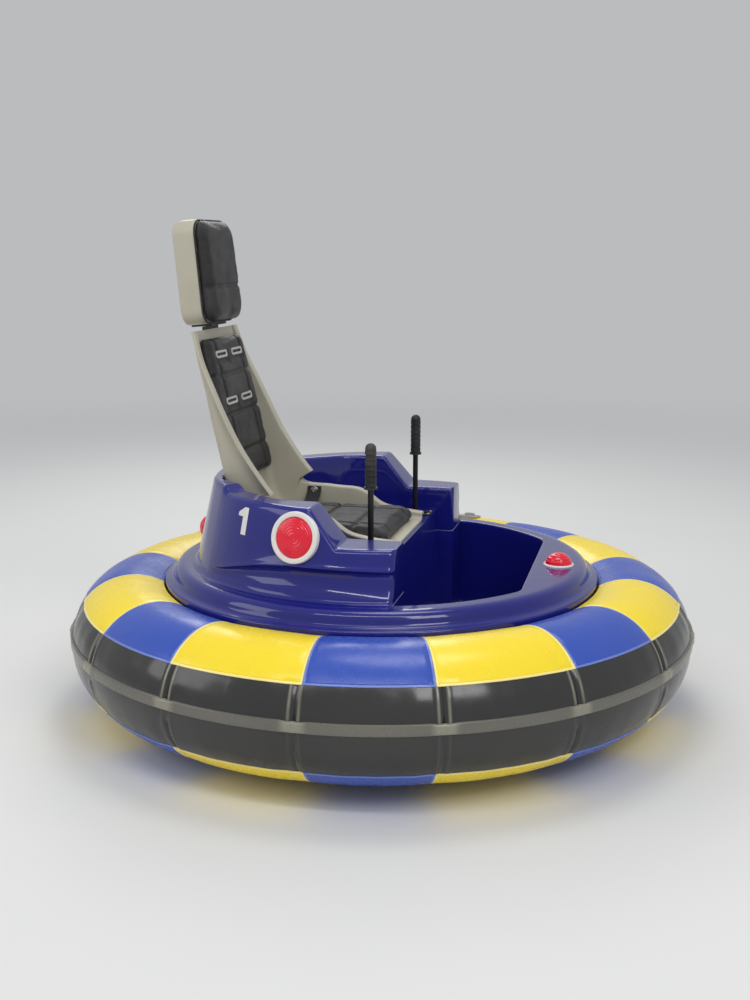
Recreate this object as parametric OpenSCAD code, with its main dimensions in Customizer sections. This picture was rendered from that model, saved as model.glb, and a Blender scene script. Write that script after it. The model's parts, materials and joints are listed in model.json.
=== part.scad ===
// Round battery bumper car: an inflated tube carries a moulded body with a bucket seat,
// two drive levers, four lamps, two driven wheels and two swivel casters.
// Millimetres. +X is forward, +Y is the rider's left, +Z is up. The origin is on the floor,
// under the middle of the tube.

/* [Tube] */
// Radius of the circle that the tube's middle follows
tube_ring_r = 730; // [700:1:760]
// Radius of the inflated tube's own round section
tube_r = 178; // [165:1:190]
// Height of the tube's underside above the floor
ground_gap = 47; // [40:1:60]
// Height of the rub strip round the outside
strip_h = 29; // [20:1:40]
// How far the rub strip stands out of the tube
strip_out = 6; // [3:0.5:10]
// Height of the rub strip's middle above the tube's middle
strip_rise = 18.5; // [0:0.5:30]
// Coloured panels round the top, and as many round the bottom
panel_count = 16; // [8:2:24]
// Angle that one yellow panel takes round the car
yellow_sweep = 24.25; // [20:0.25:26]
// Thickness of the coloured vinyl panels
panel_t = 2; // [1:0.5:3]
// Angle from the tube's equator to where a panel starts
panel_start = 38.2; // [30:0.1:50]
// Width of the tape that is welded over each seam of the tube
tape_w = 26; // [16:1:36]
// Thickness of the welded tape
tape_t = 1.2; // [0.8:0.1:2]
// Diameter of the inflation valve's cap ring
valve_d = 78; // [60:1:90]
// Bore of the inflation valve
valve_bore = 18; // [10:1:24]
// Height of the valve's boss
valve_h = 14; // [8:1:20]
// Angle round the car from straight ahead to the valve
valve_az = 78.75; // [77:0.25:81]
// Angle round the tube's section from its equator to the valve
valve_angle = 83; // [70:1:84]
// Wall of the steel cradle that holds the tube's inner side
cradle_t = 5; // [4:0.5:6]

/* [Body] */
// Height of the deck's top above the tube's crown
deck_rise = 33; // [26:1:40]
// Wall of the moulded body
body_t = 6; // [4:0.5:8]
// How far the lip's edge lies inside the circle of the tube's crown
lip_in = 94; // [84:1:104]
// How far the lip's top lies below the deck
lip_h = 46; // [40:1:52]
// Width of the lower step round the lip
lip_step = 24; // [18:1:30]
// Gap between the tub and the cradle
tub_gap = 0.7; // [0.5:0.1:3]
// How far the footwell's straight front edge lies inside its round wall
well_flat = 91; // [70:1:110]
// Radius of the footwell's two front corners
well_corner_r = 60; // [30:1:80]
// Height of the tub floor's top
floor_z = 147; // [143:1:160]
// Thickness of the rubber floor mat
mat_t = 4; // [2:0.5:8]

/* [Side pods] */
// Width of the deck between the lip's edge and the pods
ledge_w = 92; // [86:1:100]
// Width of a side pod at its foot
pod_w = 169; // [150:1:180]
// Width of the rear cowl at its foot
cowl_w = 111; // [100:1:120]
// Half of the seat bay's width at its rear wall
bay_rear_half = 190; // [184:1:196]
// Distance from the car's middle back to where the bay starts to draw in
bay_taper = 190; // [160:1:220]
// Radius of the bay's side corners
bay_side_r = 120; // [60:1:140]
// Radius of the bay's rear corners
bay_rear_r = 80; // [70:1:90]
// How far the pods' outer wall leans in for each millimetre of height
pod_lean = 0.229; // [0.15:0.001:0.26]
// Height of the pods above the deck
pod_h = 232; // [216:1:250]
// Rise of the cowl and its shoulders above the pods
shoulder_rise = 16; // [6:1:26]
// Height of the low front shelf above the deck
shelf_h = 136; // [120:1:150]
// Where the high part of a pod ends, behind the car's middle
pod_high_x = 80; // [60:1:100]
// Where the slope lands on the shelf, behind the car's middle
pod_low_x = 4; // [-10:1:20]
// Front end of the pods
pod_front_x = 150; // [130:1:170]
// Length of the cowl's side arms ahead of the bay's rear wall
cowl_arm = 115; // [90:1:140]
// Rounding of the pods' outer edges
edge_r = 14; // [9:1:18]
// Rounding of the pods' edges towards the seat
inner_edge_r = 12; // [9:1:16]
// Fillet between the pods' outer wall and the deck
cove_r = 14; // [6:1:18]
// Greatest depth of the scoop along a pod's foot
scoop_d = 20; // [8:1:26]

/* [Seat] */
// Height of the riser's top above the deck
riser_h = 64; // [50:1:70]
// How far the riser's foot stands ahead of its top
riser_slope = 30; // [10:1:50]
// Lean of the seat's back from upright
back_lean = 12.4; // [11:0.1:14]
// Height of the seat back's top edge above the riser
back_h = 595; // [560:1:620]
// Height above the riser where the seat's back starts to turn into the pan
back_foot = 152; // [140:1:165]
// Length of the seat's pan
pan_l = 506; // [480:1:520]
// Half of the seat's width between its wings
seat_half = 200; // [190:1:206]
// Depth of the wings at the foot of the back
wing_d = 126; // [110:1:140]
// Wall of the seat shell
seat_t = 7; // [5:0.5:9]
// Width of the rolled flange round the seat
flange_w = 22; // [14:1:26]
// Thickness of the rolled flange
flange_t = 8; // [6:0.5:10]
// Thickness of the seat cushion
pan_pad_t = 42; // [30:1:50]
// Thickness of the back cushion
back_pad_t = 28; // [20:1:32]
// Length of one harness slot
slot_l = 74; // [60:1:80]
// Width of one harness slot
slot_w = 8; // [6:0.5:12]
// Width of the lap belt's webbing
belt_w = 45; // [38:1:50]
// Thickness of the lap belt's webbing
belt_t = 2.5; // [2:0.5:4]
// Height that the lap belt climbs beside the cushion
belt_rise = 46; // [36:1:56]

/* [Headrest] */
// Height of the headrest
rest_h = 298; // [270:1:310]
// Width of the headrest
rest_w = 262; // [230:1:280]
// Thickness of the headrest's moulded back
rest_t = 66; // [50:1:74]
// Thickness of the headrest's pad at its top
rest_pad_t = 22; // [16:1:30]
// How much thicker the headrest's pad is at its foot
rest_wedge = 14; // [6:1:20]
// Rounding of the headrest's outline
rest_corner_r = 46; // [30:1:60]
// Rounding of the headrest's rear edge at the top
rest_back_r = 26; // [14:1:34]
// Gap between the seat back's top and the headrest
rest_gap = 14; // [11:1:22]
// Lean of the headrest from upright
rest_lean = 5; // [2:0.5:8]

/* [Levers] */
// How far the levers stand behind the riser's front edge
lever_back = 52; // [46:1:70]
// Distance of each lever from the pod beside it
lever_side = 75; // [66:1:90]
// Depth of the lever's pivot below the riser's top
lever_pivot_drop = 90; // [84:1:100]
// Diameter of the lever's shaft
lever_d = 16; // [12:1:18]
// Height of the lever's top above the riser
lever_l = 318; // [290:1:340]
// Diameter of the lever's grip
grip_d = 31; // [26:1:36]
// Length of the lever's grip
grip_l = 126; // [115:1:140]
// How deep the shaft reaches into the grip
grip_socket = 100; // [80:1:104]
// Largest tilt of a lever, each way
lever_tilt = 16; // [8:1:17]
// Diameter of the lever's pivot pin
pin_d = 12; // [10:0.5:14]

/* [Lamps] */
// Outer diameter of the side lamps' white rings
side_ring_d = 138; // [120:1:140]
// Diameter of the side lamps' lenses
side_lens_d = 108; // [90:1:110]
// Angle round the car from straight ahead to a side lamp
side_lamp_az = 103; // [101:0.5:106]
// Height of the side lamps above the deck
side_lamp_h = 157; // [155:1:158]
// Outer diameter of the front lamp's ring
nose_ring_d = 88; // [82:1:96]
// Diameter of the front lamp's dome
nose_lens_d = 76; // [60:1:78]
// Distance of the front lamp's middle from the footwell
nose_lamp_in = 75; // [66:1:90]
// Outer diameter of the rear lamp's ring
rear_ring_d = 96; // [84:1:98]
// Diameter of the rear lamp's dome
rear_lens_d = 82; // [70:1:84]
// Height of the rear lamp above the deck
rear_lamp_h = 55; // [53:1:66]

/* [Running gear] */
// Thickness of the steel chassis plate
plate_t = 6; // [4:1:6]
// Diameter of the driven wheels
wheel_d = 200; // [190:1:204]
// Width of the driven wheels' tyres
wheel_w = 56; // [44:1:60]
// Gap between a pod's inner side and the driven wheel beside it
wheel_out = 37; // [30:1:44]
// Depth of the tyre on the hub
tyre_t = 24; // [18:1:30]
// Diameter of the wheel shafts
axle_d = 20; // [16:1:24]
// Diameter of the gear motors
motor_d = 66; // [54:1:68]
// Length of the gear motors
motor_l = 150; // [120:1:170]
// Thickness of the plates that hang the motors
mount_t = 8; // [6:1:10]
// Diameter of the caster wheels
caster_d = 84; // [76:1:88]
// Width of the caster wheels
caster_w = 30; // [22:1:36]
// Distance from a caster's swivel to its axle
caster_trail = 30; // [24:1:34]
// Distance from the footwell's front edge back to the front caster's swivel
caster_in = 54; // [44:1:70]
// Length of one battery
battery_l = 330; // [250:1:340]
// Width of one battery
battery_w = 172; // [150:1:178]
// Height of one battery
battery_h = 220; // [190:1:240]

/* [Hidden] */
$fn = 96;

// Gap left between pieces that only rest on each other
seat_gap = 0.3;
// Radial clearance of a shaft that turns in a bore
run_gap = 0.05;
// Longer than any piece, for cutting tools
far = 2000;

// Heights of the tube's middle, the deck, the pods, the riser and the steel plate's underside
tube_z = ground_gap + tube_r;
deck_z = tube_z + tube_r + deck_rise;
pod_z = deck_z + pod_h;
shoulder_z = pod_z + shoulder_rise;
shelf_z = deck_z + shelf_h;
riser_z = deck_z + riser_h;
plate_z = floor_z - body_t - plate_t;

// Plan: the lip's edge, the pods' outer wall at the deck, the seat bay and the footwell
lip_r = tube_ring_r - lip_in;
pod_base_r = lip_r - ledge_w;
bay_half = pod_base_r - pod_w;
bay_rear = pod_base_r - cowl_w;
well_r = tube_ring_r - tube_r - seat_gap - cradle_t - tub_gap - body_t;
well_front = well_r - well_flat;

// Seat: its back's foot ahead of the bay's rear wall, and the riser that ends ahead of the pan
seat_ahead = 11;
riser_ahead = 8;
foot_x = seat_ahead - bay_rear;
riser_front = foot_x + pan_l + riser_ahead;

panel_step = 360 / panel_count;
blue_sweep = 2 * panel_step - yellow_sweep;
// Angle round the tube's section at which the lip's outer edge lies
lip_angle = acos((lip_r - tube_ring_r) / (tube_r + panel_t));
panel_end = lip_angle - 1;
axle_z = wheel_d / 2;
wheel_inner_y = bay_half + wheel_out;
wheel_y = wheel_inner_y + wheel_w / 2;
lever_x = riser_front - lever_back;
lever_y = bay_half - lever_side;
lever_pivot_z = riser_z - lever_pivot_drop;
lever_top = riser_z + lever_l;
caster_x = well_front - caster_in;

// Radius of the pods' outer wall at a height
function wall_r(z) = pod_base_r - (z - deck_z) * pod_lean;
wall_tilt = atan(pod_lean);

// Everything between two angles round the tube's section, seen as a flat wedge
module section_wedge(a0, a1) {
    reach = 2 * tube_r;
    steps = 6;
    polygon(concat([[0, 0]], [for (i = [0:steps])
        let (a = a0 + (a1 - a0) * i / steps) reach * [cos(a), sin(a)]]));
}

// A thin band that follows the tube's section between two angles
module section_band(inner, outer, a0, a1) {
    translate([tube_ring_r, tube_z])
        intersection() {
            difference() {
                circle(r = outer);
                circle(r = inner);
            }
            section_wedge(a0, a1);
        }
}

// The tube, with a welded tape over each seam from panel to panel round its outside
module tube() {
    tape_sweep = 2 * asin(tape_w / 2 / (tube_ring_r + tube_r));
    tape_end = panel_start - 1;
    tape_low = asin((strip_rise - strip_h / 2 - 1) / (tube_r + tape_t));
    tape_high = asin((strip_rise + strip_h / 2 + 1) / (tube_r + tape_t));
    color([0.03, 0.03, 0.035]) {
        rotate_extrude()
            translate([tube_ring_r, tube_z])
                circle(r = tube_r);
        for (i = [0:panel_count - 1], band = [[tape_high, tape_end], [-tape_end, tape_low]])
            rotate([0, 0, i * panel_step - tape_sweep / 2])
                rotate_extrude(angle = tape_sweep)
                    section_band(tube_r - 1, tube_r + tape_t, band[0], band[1]);
    }
}

// Upper and lower vinyl panels of one colour, every second place round the tube
module panels(first, sweep) {
    for (i = [0:2:panel_count - 1])
        for (band = [[panel_start, panel_end], [-panel_end, -panel_start]])
            rotate([0, 0, first + i * panel_step - sweep / 2])
                rotate_extrude(angle = sweep)
                    section_band(tube_r + seat_gap, tube_r + panel_t, band[0], band[1]);
}

module tube_panels_yellow() {
    color([1, 0.89, 0.13]) panels(-panel_step / 2, yellow_sweep);
}

module tube_panels_blue() {
    color([0.22, 0.33, 0.75]) panels(panel_step / 2, blue_sweep);
}

module rub_strip() {
    strip_z = tube_z + strip_rise;
    chamfer = strip_out / 2;
    face_r = tube_ring_r + tube_r + strip_out;
    color([0.25, 0.24, 0.2])
        rotate_extrude()
            difference() {
                polygon([
                    [tube_ring_r, strip_z - strip_h / 2], [face_r - chamfer, strip_z - strip_h / 2],
                    [face_r, strip_z - strip_h / 2 + chamfer], [face_r, strip_z + strip_h / 2 - chamfer],
                    [face_r - chamfer, strip_z + strip_h / 2], [tube_ring_r, strip_z + strip_h / 2]
                ]);
                translate([tube_ring_r, tube_z])
                    circle(r = tube_r + seat_gap);
            }
}

// Puts its children on the tube's skin, with their Z along the skin's outward normal
module on_tube(azimuth, section_angle) {
    rotate([0, 0, azimuth])
        translate([tube_ring_r, 0, tube_z])
            rotate([0, 90 - section_angle, 0])
                translate([0, 0, tube_r])
                    children();
}

// Cap ring and boss of the valve, hollowed below to lie on the panel
module tube_valve() {
    rim_h = 4;
    boss_d = valve_bore + 16;
    color([0.62, 0.62, 0.6])
        on_tube(valve_az, valve_angle)
            difference() {
                union() {
                    translate([0, 0, -rim_h]) cylinder(d = valve_d, h = 2 * rim_h + panel_t);
                    cylinder(d = boss_d, h = valve_h);
                }
                translate([0, 0, -tube_r])
                    rotate([90, 0, 0]) cylinder(r = tube_r + panel_t + seat_gap, h = far, center = true);
                translate([0, 0, -far / 2]) cylinder(d = valve_bore, h = far);
            }
}

// Steel ring that holds the tube's inner side, from below the plate to above the tube's middle
module tube_cradle() {
    below = 29;
    above = 75;
    low = plate_z - below;
    high = tube_z + above;
    color([0.2, 0.2, 0.21])
        rotate_extrude()
            intersection() {
                translate([tube_ring_r, tube_z])
                    difference() {
                        circle(r = tube_r + seat_gap + cradle_t);
                        circle(r = tube_r + seat_gap);
                    }
                translate([0, low]) square([tube_ring_r - tube_r / 4, high - low]);
            }
}

// Radius of the cradle's inside at a height, where the chassis plate meets it
function cradle_in_r(z) =
    tube_ring_r - sqrt(pow(tube_r + seat_gap + cradle_t, 2) - pow(tube_z - z, 2));

// Openings in the chassis plate for the two driven wheels, with room all round each wheel
wheel_room = 14;
wheel_slot = [wheel_d + 2 * wheel_room, wheel_w + 2 * wheel_room];

module chassis_plate() {
    rim_r = cradle_in_r(plate_z + plate_t) - seat_gap;
    color([0.16, 0.16, 0.17])
        translate([0, 0, plate_z])
            linear_extrude(plate_t)
                difference() {
                    circle(r = rim_r);
                    for (side = [-1, 1])
                        translate([0, side * wheel_y]) square(wheel_slot, center = true);
                }
}

// A rounded corner of a path: points and the direction they face, between two facing angles.
// A negative radius rounds a hollow corner.
function corner(p, a0, a1, r, steps) =
    let (c = p - r * ([cos(a0), sin(a0)] + [cos(a1), sin(a1)]) / (1 + cos(a1 - a0)))
    [for (i = [0:steps]) let (a = a0 + (a1 - a0) * i / steps) [c[0] + r * cos(a), c[1] + r * sin(a), a]];

// Turn of the bay's side walls towards the rear, and its two corners on the left side
bay_turn = atan((bay_half - bay_rear_half) / (bay_rear - bay_taper));
bay_side_corner = corner([-bay_taper, bay_half], 90, 90 + bay_turn, bay_side_r, 4);
bay_rear_corner = corner([-bay_rear, bay_rear_half], 90 + bay_turn, 180, bay_rear_r, 5);

// Plan of the seat bay between the pods, drawn in at the rear and open to the front
module bay_plan(grow) {
    side = [for (c = concat([[far, bay_half, 90]], bay_side_corner, bay_rear_corner))
        [c[0] + grow * cos(c[2]), c[1] + grow * sin(c[2])]];
    polygon(concat(side, [for (i = [len(side) - 1:-1:0]) [side[i][0], -side[i][1]]]));
}

// Plan of the open well: round, with a straight front and rounded corners, narrow between the pods
module well_plan(grow) {
    corner_x = well_front - well_corner_r;
    corner_y = sqrt(pow(well_r - well_corner_r, 2) - corner_x * corner_x);
    corner_turn = atan2(corner_y, corner_x);
    intersection() {
        union() {
            difference() {
                intersection() {
                    circle(r = well_r + grow);
                    translate([-far / 2, -far / 2]) square([far / 2 + well_front + grow, far]);
                }
                for (side = [-1, 1])
                    polygon([[corner_x, side * corner_y], [corner_x + far, side * corner_y],
                        [corner_x, side * corner_y] + far * [cos(corner_turn), side * sin(corner_turn)]]);
            }
            for (side = [-1, 1])
                translate([corner_x, side * corner_y]) circle(r = well_corner_r + grow);
        }
        union() {
            bay_plan(grow);
            translate([pod_front_x - grow, -far / 2]) square([far, far]);
        }
    }
}

module tub() {
    color([0.13, 0.13, 0.5])
        difference() {
            translate([0, 0, floor_z - body_t])
                linear_extrude(deck_z - body_t - floor_z + body_t)
                    well_plan(body_t);
            translate([0, 0, floor_z])
                linear_extrude(far) well_plan(0);
        }
}

module floor_mat() {
    mat_edge = 12;
    mat_back = riser_front + riser_slope + mat_edge;
    color([0.05, 0.05, 0.05])
        translate([0, 0, floor_z + seat_gap])
            linear_extrude(mat_t)
                intersection() {
                    well_plan(-mat_edge);
                    translate([mat_back, -far / 2]) square([far, far]);
                }
}

// The deck, its stepped lip and the nose in one moulding, with the well cut out
module deck() {
    under = deck_z - body_t;
    lip_top = deck_z - lip_h;
    step_r = lip_r - lip_step;
    lip_wall = 10;
    bevel = 4;
    wall_in = 8;
    // Where the deck falls to the step: distance in from the step's edge, share of the lip's depth
    fall = [[36, 1], [22, 0.91], [8, 0.63], [3, 0.3], [0, 0.17]];
    color([0.13, 0.13, 0.5])
        difference() {
            rotate_extrude()
                difference() {
                    polygon(concat(
                        [[0, under]],
                        [for (p = fall) [step_r - p[0] - wall_in, lip_top + p[1] * lip_h - body_t]],
                        [
                            [lip_r - lip_wall, lip_top - body_t], [lip_r - lip_wall, tube_z],
                            [lip_r, tube_z], [lip_r, lip_top - bevel], [lip_r - bevel, lip_top]
                        ],
                        [for (i = [len(fall) - 1:-1:0]) [step_r - fall[i][0], lip_top + fall[i][1] * lip_h]],
                        [[0, deck_z]]
                    ));
                    translate([tube_ring_r, tube_z]) circle(r = tube_r + seat_gap);
                }
            translate([0, 0, under - far / 2]) linear_extrude(far) well_plan(0);
            translate([nose_lamp_x, 0, under - 1]) cylinder(r = nose_ring_d / 2 + seat_gap, h = far);
        }
}

// Along the pods' foot, by the angle round the car: height above the deck of the crease over the
// scoop, height of the scoop's lower edge, and the share of its full depth
crease_line = [[60, 80], [73, 80], [103, 84], [124, 61], [133, 42], [180, 42]];
scoop_line = [[60, 30], [78, 30], [106, 20], [125, 22], [133, 24], [180, 24]];
scoop_share = [[74, 0], [80, 0.4], [92, 1], [106, 1], [120, 0.8], [128, 0.3], [133, 0]];
// Height over which the scoop's edges turn in
scoop_turn = 6;

// Distance from a point along a direction out to a circle round the car's middle
function reach_out(x, y, a, r) =
    let (d = x * cos(a) + y * sin(a)) sqrt(d * d - x * x - y * y + r * r) - d;

// One section of the moulded body from a point of the bay's wall straight outwards. The station is
// x, y, facing angle, height of the top and how far the front's rounding draws it in.
function body_section(s, inset) =
    let (x = s[0], y = s[1], a = s[2], top = s[3], drawn = inset + s[4], base = deck_z + seat_gap)
    let (foot = reach_out(x, y, a, pod_base_r))
    let (az = abs(atan2(y + foot * sin(a), x + foot * cos(a))))
    let (crease = deck_z + lookup(az, crease_line), low = deck_z + lookup(az, scoop_line))
    let (deep = scoop_d * lookup(az, scoop_share))
    let (wide = reach_out(x, y, a, wall_r(top)) - 2 * drawn)
    let (r = min(edge_r - inset, 0.4 * wide), ri = min(inner_edge_r - inset, 0.4 * wide))
    let (outside = concat(
        [for (b = [0, 45, 90]) [cove_r - cove_r * sin(b), base + cove_r - cove_r * cos(b)]],
        [[0, low], [-0.8 * deep, low + scoop_turn], [-deep, (low + crease) / 2]],
        [[-0.9 * deep, crease - scoop_turn], [0, crease]],
        [for (b = [0, 30, 60, 90]) [-r + r * cos(b), top - r + r * sin(b)]]))
    let (inside = concat([for (b = [90, 45, 0]) [ri - ri * cos(b), top - ri + ri * sin(b)]], [[0, base]]))
    let (flat = concat(
        [for (p = outside) [reach_out(x, y, a, wall_r(p[1])) - drawn + p[0], p[1]]],
        [for (p = inside) [drawn + p[0], p[1]]]))
    [for (p = flat) [x + p[0] * cos(a), y + p[0] * sin(a), p[1]]];

// Closed shell between an outer and an inner skin whose sections are open below. The first
// section is closed by an end wall when it is capped, and the last is always open.
module shell_loft(outer, inner, capped) {
    n = len(outer[0]);
    m = len(outer);
    half = m * n;
    skin = [for (i = [0:m - 2], j = [0:n - 2])
        let (a = i * n + j, b = a + 1, c = a + n, d = b + n)
            each [[a, b, c], [b, d, c], [half + a, half + c, half + b], [half + b, half + c, half + d]]];
    rims = [for (i = [0:m - 2], j = [0, n - 1])
        let (a = i * n + j, b = a + n, f = j == 0)
            each f ? [[a, b, half + b], [a, half + b, half + a]]
                : [[a, half + b, b], [a, half + a, half + b]]];
    function ring_end(first) = [for (j = [0:n - 2])
        let (a = first + j, b = a + 1, f = first == 0)
            each f ? [[a, half + b, b], [a, half + a, half + b]]
                : [[a, b, half + b], [a, half + b, half + a]]];
    cap = [for (j = [0:n / 2 - 2])
        let (a = j, b = j + 1, c = n - 2 - j, d = n - 1 - j)
            each [[a, c, b], [a, d, c], [half + a, half + b, half + c], [half + a, half + c, half + d]]];
    sill = [[0, half + n - 1, n - 1], [0, half, half + n - 1]];
    polyhedron(
        points = [for (r = concat(outer, inner)) each r],
        faces = concat(skin, rims, ring_end((m - 1) * n), capped ? concat(cap, sill) : ring_end(0)),
        convexity = 10
    );
}

pod_slope = atan((pod_z - shelf_z) / (pod_high_x - pod_low_x));
shelf_hollow_r = 16;
slope_round_r = 22;

// Station of the bay's taper wall at a distance ahead of its rear wall
function taper_station(ahead, top) =
    let (x = ahead - bay_rear)
    [x, bay_half + (x + bay_taper) * tan(bay_turn), 90 + bay_turn, top, 0];

// Stations of the left pod: rounded front, shelf, slope, high part and the bay's side corner
function pod_stations(inset) =
    let (front = pod_front_x - inset, r = edge_r - inset, top = shelf_z - inset)
    let (ahead = [for (b = [90, 60, 30, 0])
        [front - r + r * sin(b), bay_half, 90, top, r - r * cos(b)]])
    let (shelf_l = pod_front_x - edge_r + pod_low_x)
    let (shelf = [for (t = [1 / 3, 2 / 3]) [pod_front_x - edge_r - t * shelf_l, bay_half, 90, top, 0]])
    let (slope = concat(
        corner([-pod_low_x, shelf_z], 90, 90 - pod_slope, -shelf_hollow_r, 3),
        corner([-pod_high_x, pod_z], 90 - pod_slope, 90, slope_round_r, 3),
        [[(-pod_high_x + bay_side_corner[0][0]) / 2, pod_z, 90]]))
    concat(ahead, shelf,
        [for (p = slope) [p[0] - inset * cos(p[2]), bay_half, 90, p[1] - inset * sin(p[2]), 0]],
        [for (c = bay_side_corner) [c[0], c[1], c[2], pod_z - inset, 0]],
        [taper_station(cowl_arm + seat_gap, pod_z - inset)]);

// Rise from the pods to the cowl's shoulders: distance from the pod and share of the rise
shoulder_steps = [[0, 0], [8, 0.3], [18, 0.8], [30, 1]];

// Stations of the cowl from the left pod round the rear to the right pod
function cowl_stations(inset) =
    let (low = pod_z - inset, high = shoulder_z - inset)
    let (left = concat(
        [for (s = shoulder_steps) taper_station(cowl_arm - s[0], low + s[1] * shoulder_rise)],
        [for (c = bay_rear_corner) [c[0], c[1], c[2], high, 0]],
        [for (t = [0.55, 0.17]) [-bay_rear, t * bay_rear_half, 180, high, 0]]))
    let (right = [for (i = [len(left) - 1:-1:0])
        [left[i][0], -left[i][1], 360 - left[i][2], left[i][3], 0]])
    concat(left, right);

module pod() {
    color([0.13, 0.13, 0.5])
        difference() {
            shell_loft(
                [for (s = pod_stations(0)) body_section(s, 0)],
                [for (s = pod_stations(body_t)) body_section(s, body_t)], true);
            lamp_holes();
        }
}

module pod_left() { pod(); }
module pod_right() { mirror([0, 1, 0]) pod(); }

module rear_cowl() {
    color([0.13, 0.13, 0.5])
        difference() {
            shell_loft(
                [for (s = cowl_stations(0)) body_section(s, 0)],
                [for (s = cowl_stations(body_t)) body_section(s, body_t)], false);
            lamp_holes();
        }
}

// Slot in the riser that a lever swings through
lever_slot = [2 * lever_pivot_drop * tan(lever_tilt) + lever_d + 12, lever_d + 12];

module seat_riser() {
    foot_z = floor_z + seat_gap;
    foot = riser_front + riser_slope;
    color([0.13, 0.13, 0.5])
        difference() {
            intersection() {
                rotate([90, 0, 0])
                    translate([0, 0, -far / 2])
                        linear_extrude(far)
                            polygon([
                                [-far, riser_z], [riser_front, riser_z],
                                [foot, foot_z], [foot - body_t, foot_z],
                                [riser_front - body_t, riser_z - body_t], [-far, riser_z - body_t]
                            ]);
                linear_extrude(far) bay_plan(-seat_gap);
            }
            for (side = [-1, 1])
                translate([lever_x, side * lever_y, riser_z])
                    cube([lever_slot[0], lever_slot[1], 4 * body_t], center = true);
        }
}

// Sections down the seat back: share of its height above its foot, share of the wings' depth,
// share of the half width
back_rows = [
    [1, 0.12, 0.8],
    [0.786, 0.2, 0.88],
    [0.634, 0.32, 0.92],
    [0.483, 0.44, 0.95],
    [0.2, 0.71, 0.95],
    [0, 1, 0.95]
];
// Sections round the hip and along the pan: share of the pan's length from the back's foot, share
// of the foot's height above the riser, angle of the way in, share of the wings' depth and of the
// half width
pan_rows = [
    [0.03, 0.53, 25, 1.19, 0.96],
    [0.09, 0.18, 52, 1.11, 0.98],
    [0.2, 0, 84, 0.94, 1],
    [0.44, 0, 90, 0.79, 1],
    [0.64, 0, 90, 0.68, 1],
    [0.74, 0, 90, 0.4, 1],
    [0.85, 0, 90, 0.29, 1],
    [1, 0, 90, 0.22, 0.98]
];
// All sections of the seat shell: outer face x and z, angle of the way in, wing depth, half width
seat_sections = concat(
    [for (r = back_rows) let (up = r[0] * (back_h - back_foot))
        [foot_x - up * tan(back_lean), riser_z + back_foot + up, back_lean, r[1] * wing_d, r[2] * seat_half]],
    [for (r = pan_rows)
        [foot_x + r[0] * pan_l, riser_z + r[1] * back_foot, r[2], r[3] * wing_d, r[4] * seat_half]]
);
seat_corner = 34;

// A point of a section, from its place across the seat and its height above the outer face
function seat_point(s, y, n) = [s[0] + n * cos(s[2]), y, s[1] + n * sin(s[2]) + seat_gap];

// One closed ring of the seat shell: outer face from right to left, inner face back again
function seat_ring(s) =
    let (d = s[3], w = s[4], c = min(seat_corner, d - flange_t - 1), b = 0.29 * c, ci = max(c, seat_t + 1))
    let (outer = [
        [-w - flange_w, d - flange_t], [-w, d - flange_t], [-w, c], [-w + b, b], [-w + c, 0],
        [w - c, 0], [w - b, b], [w, c], [w, d - flange_t], [w + flange_w, d - flange_t]])
    let (inner = [
        [-w - flange_w, d], [-w + seat_t, d], [-w + seat_t, ci],
        [-w + seat_t + 0.8 * b, seat_t + 0.8 * b], [-w + ci + seat_t * 0.6, seat_t],
        [w - ci - seat_t * 0.6, seat_t], [w - seat_t - 0.8 * b, seat_t + 0.8 * b], [w - seat_t, ci],
        [w - seat_t, d], [w + flange_w, d]])
    [for (p = outer) seat_point(s, p[0], p[1]),
        for (i = [len(inner) - 1:-1:0]) seat_point(s, inner[i][0], inner[i][1])];

// Closed solid through rings of equal count, whose first half faces its second half
module loft(rings) {
    n = len(rings[0]);
    m = len(rings);
    last = (m - 1) * n;
    skin = [for (i = [0:m - 2], j = [0:n - 1])
        let (a = i * n + j, b = i * n + (j + 1) % n, c = a + n, d = b + n)
            each [[a, c, b], [b, c, d]]];
    start = [for (j = [0:n / 2 - 2]) each [[j, j + 1, n - 2 - j], [j, n - 2 - j, n - 1 - j]]];
    end = [for (t = start) [last + t[0], last + t[2], last + t[1]]];
    polyhedron(points = [for (r = rings) each r], faces = concat(skin, start, end), convexity = 8);
}

module seat_shell() {
    color([0.72, 0.69, 0.6])
        loft([for (s = seat_sections) seat_ring(s)]);
}

// Gap between the cushions and the seat's wings, and the rounding of the cushions' edges
pad_side_gap = 6;
pad_round = 10;

// Ring of a cushion of some thickness that lies in the seat
function pad_ring(s, thick) =
    let (w = s[4] - seat_t - pad_side_gap, low = seat_t + seat_gap, c = pad_round)
    let (outline = [
        [-w + seat_corner, low], [0, low], [w - seat_corner, low], [w - c, low + 0.6 * thick],
        [w - 2 * c, low + thick], [0, low + thick], [-w + 2 * c, low + thick], [-w + c, low + 0.6 * thick]])
    [for (p = outline) seat_point(s, p[0], p[1])];

function blend(a, b, t) = a + (b - a) * t;

module back_cushion() {
    top = blend(seat_sections[0], seat_sections[1], 0.35);
    low = blend(seat_sections[5], seat_sections[6], 0.1);
    color([0.06, 0.06, 0.065])
        loft([for (s = concat([top], [for (i = [1:5]) seat_sections[i]], [low])) pad_ring(s, back_pad_t)]);
}

module seat_cushion() {
    last = len(seat_sections) - 1;
    front = blend(seat_sections[last - 1], seat_sections[last], 0.8);
    color([0.06, 0.06, 0.065])
        loft([for (s = concat([for (i = [8:last - 1]) seat_sections[i]], [front])) pad_ring(s, pan_pad_t)]);
}

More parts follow.
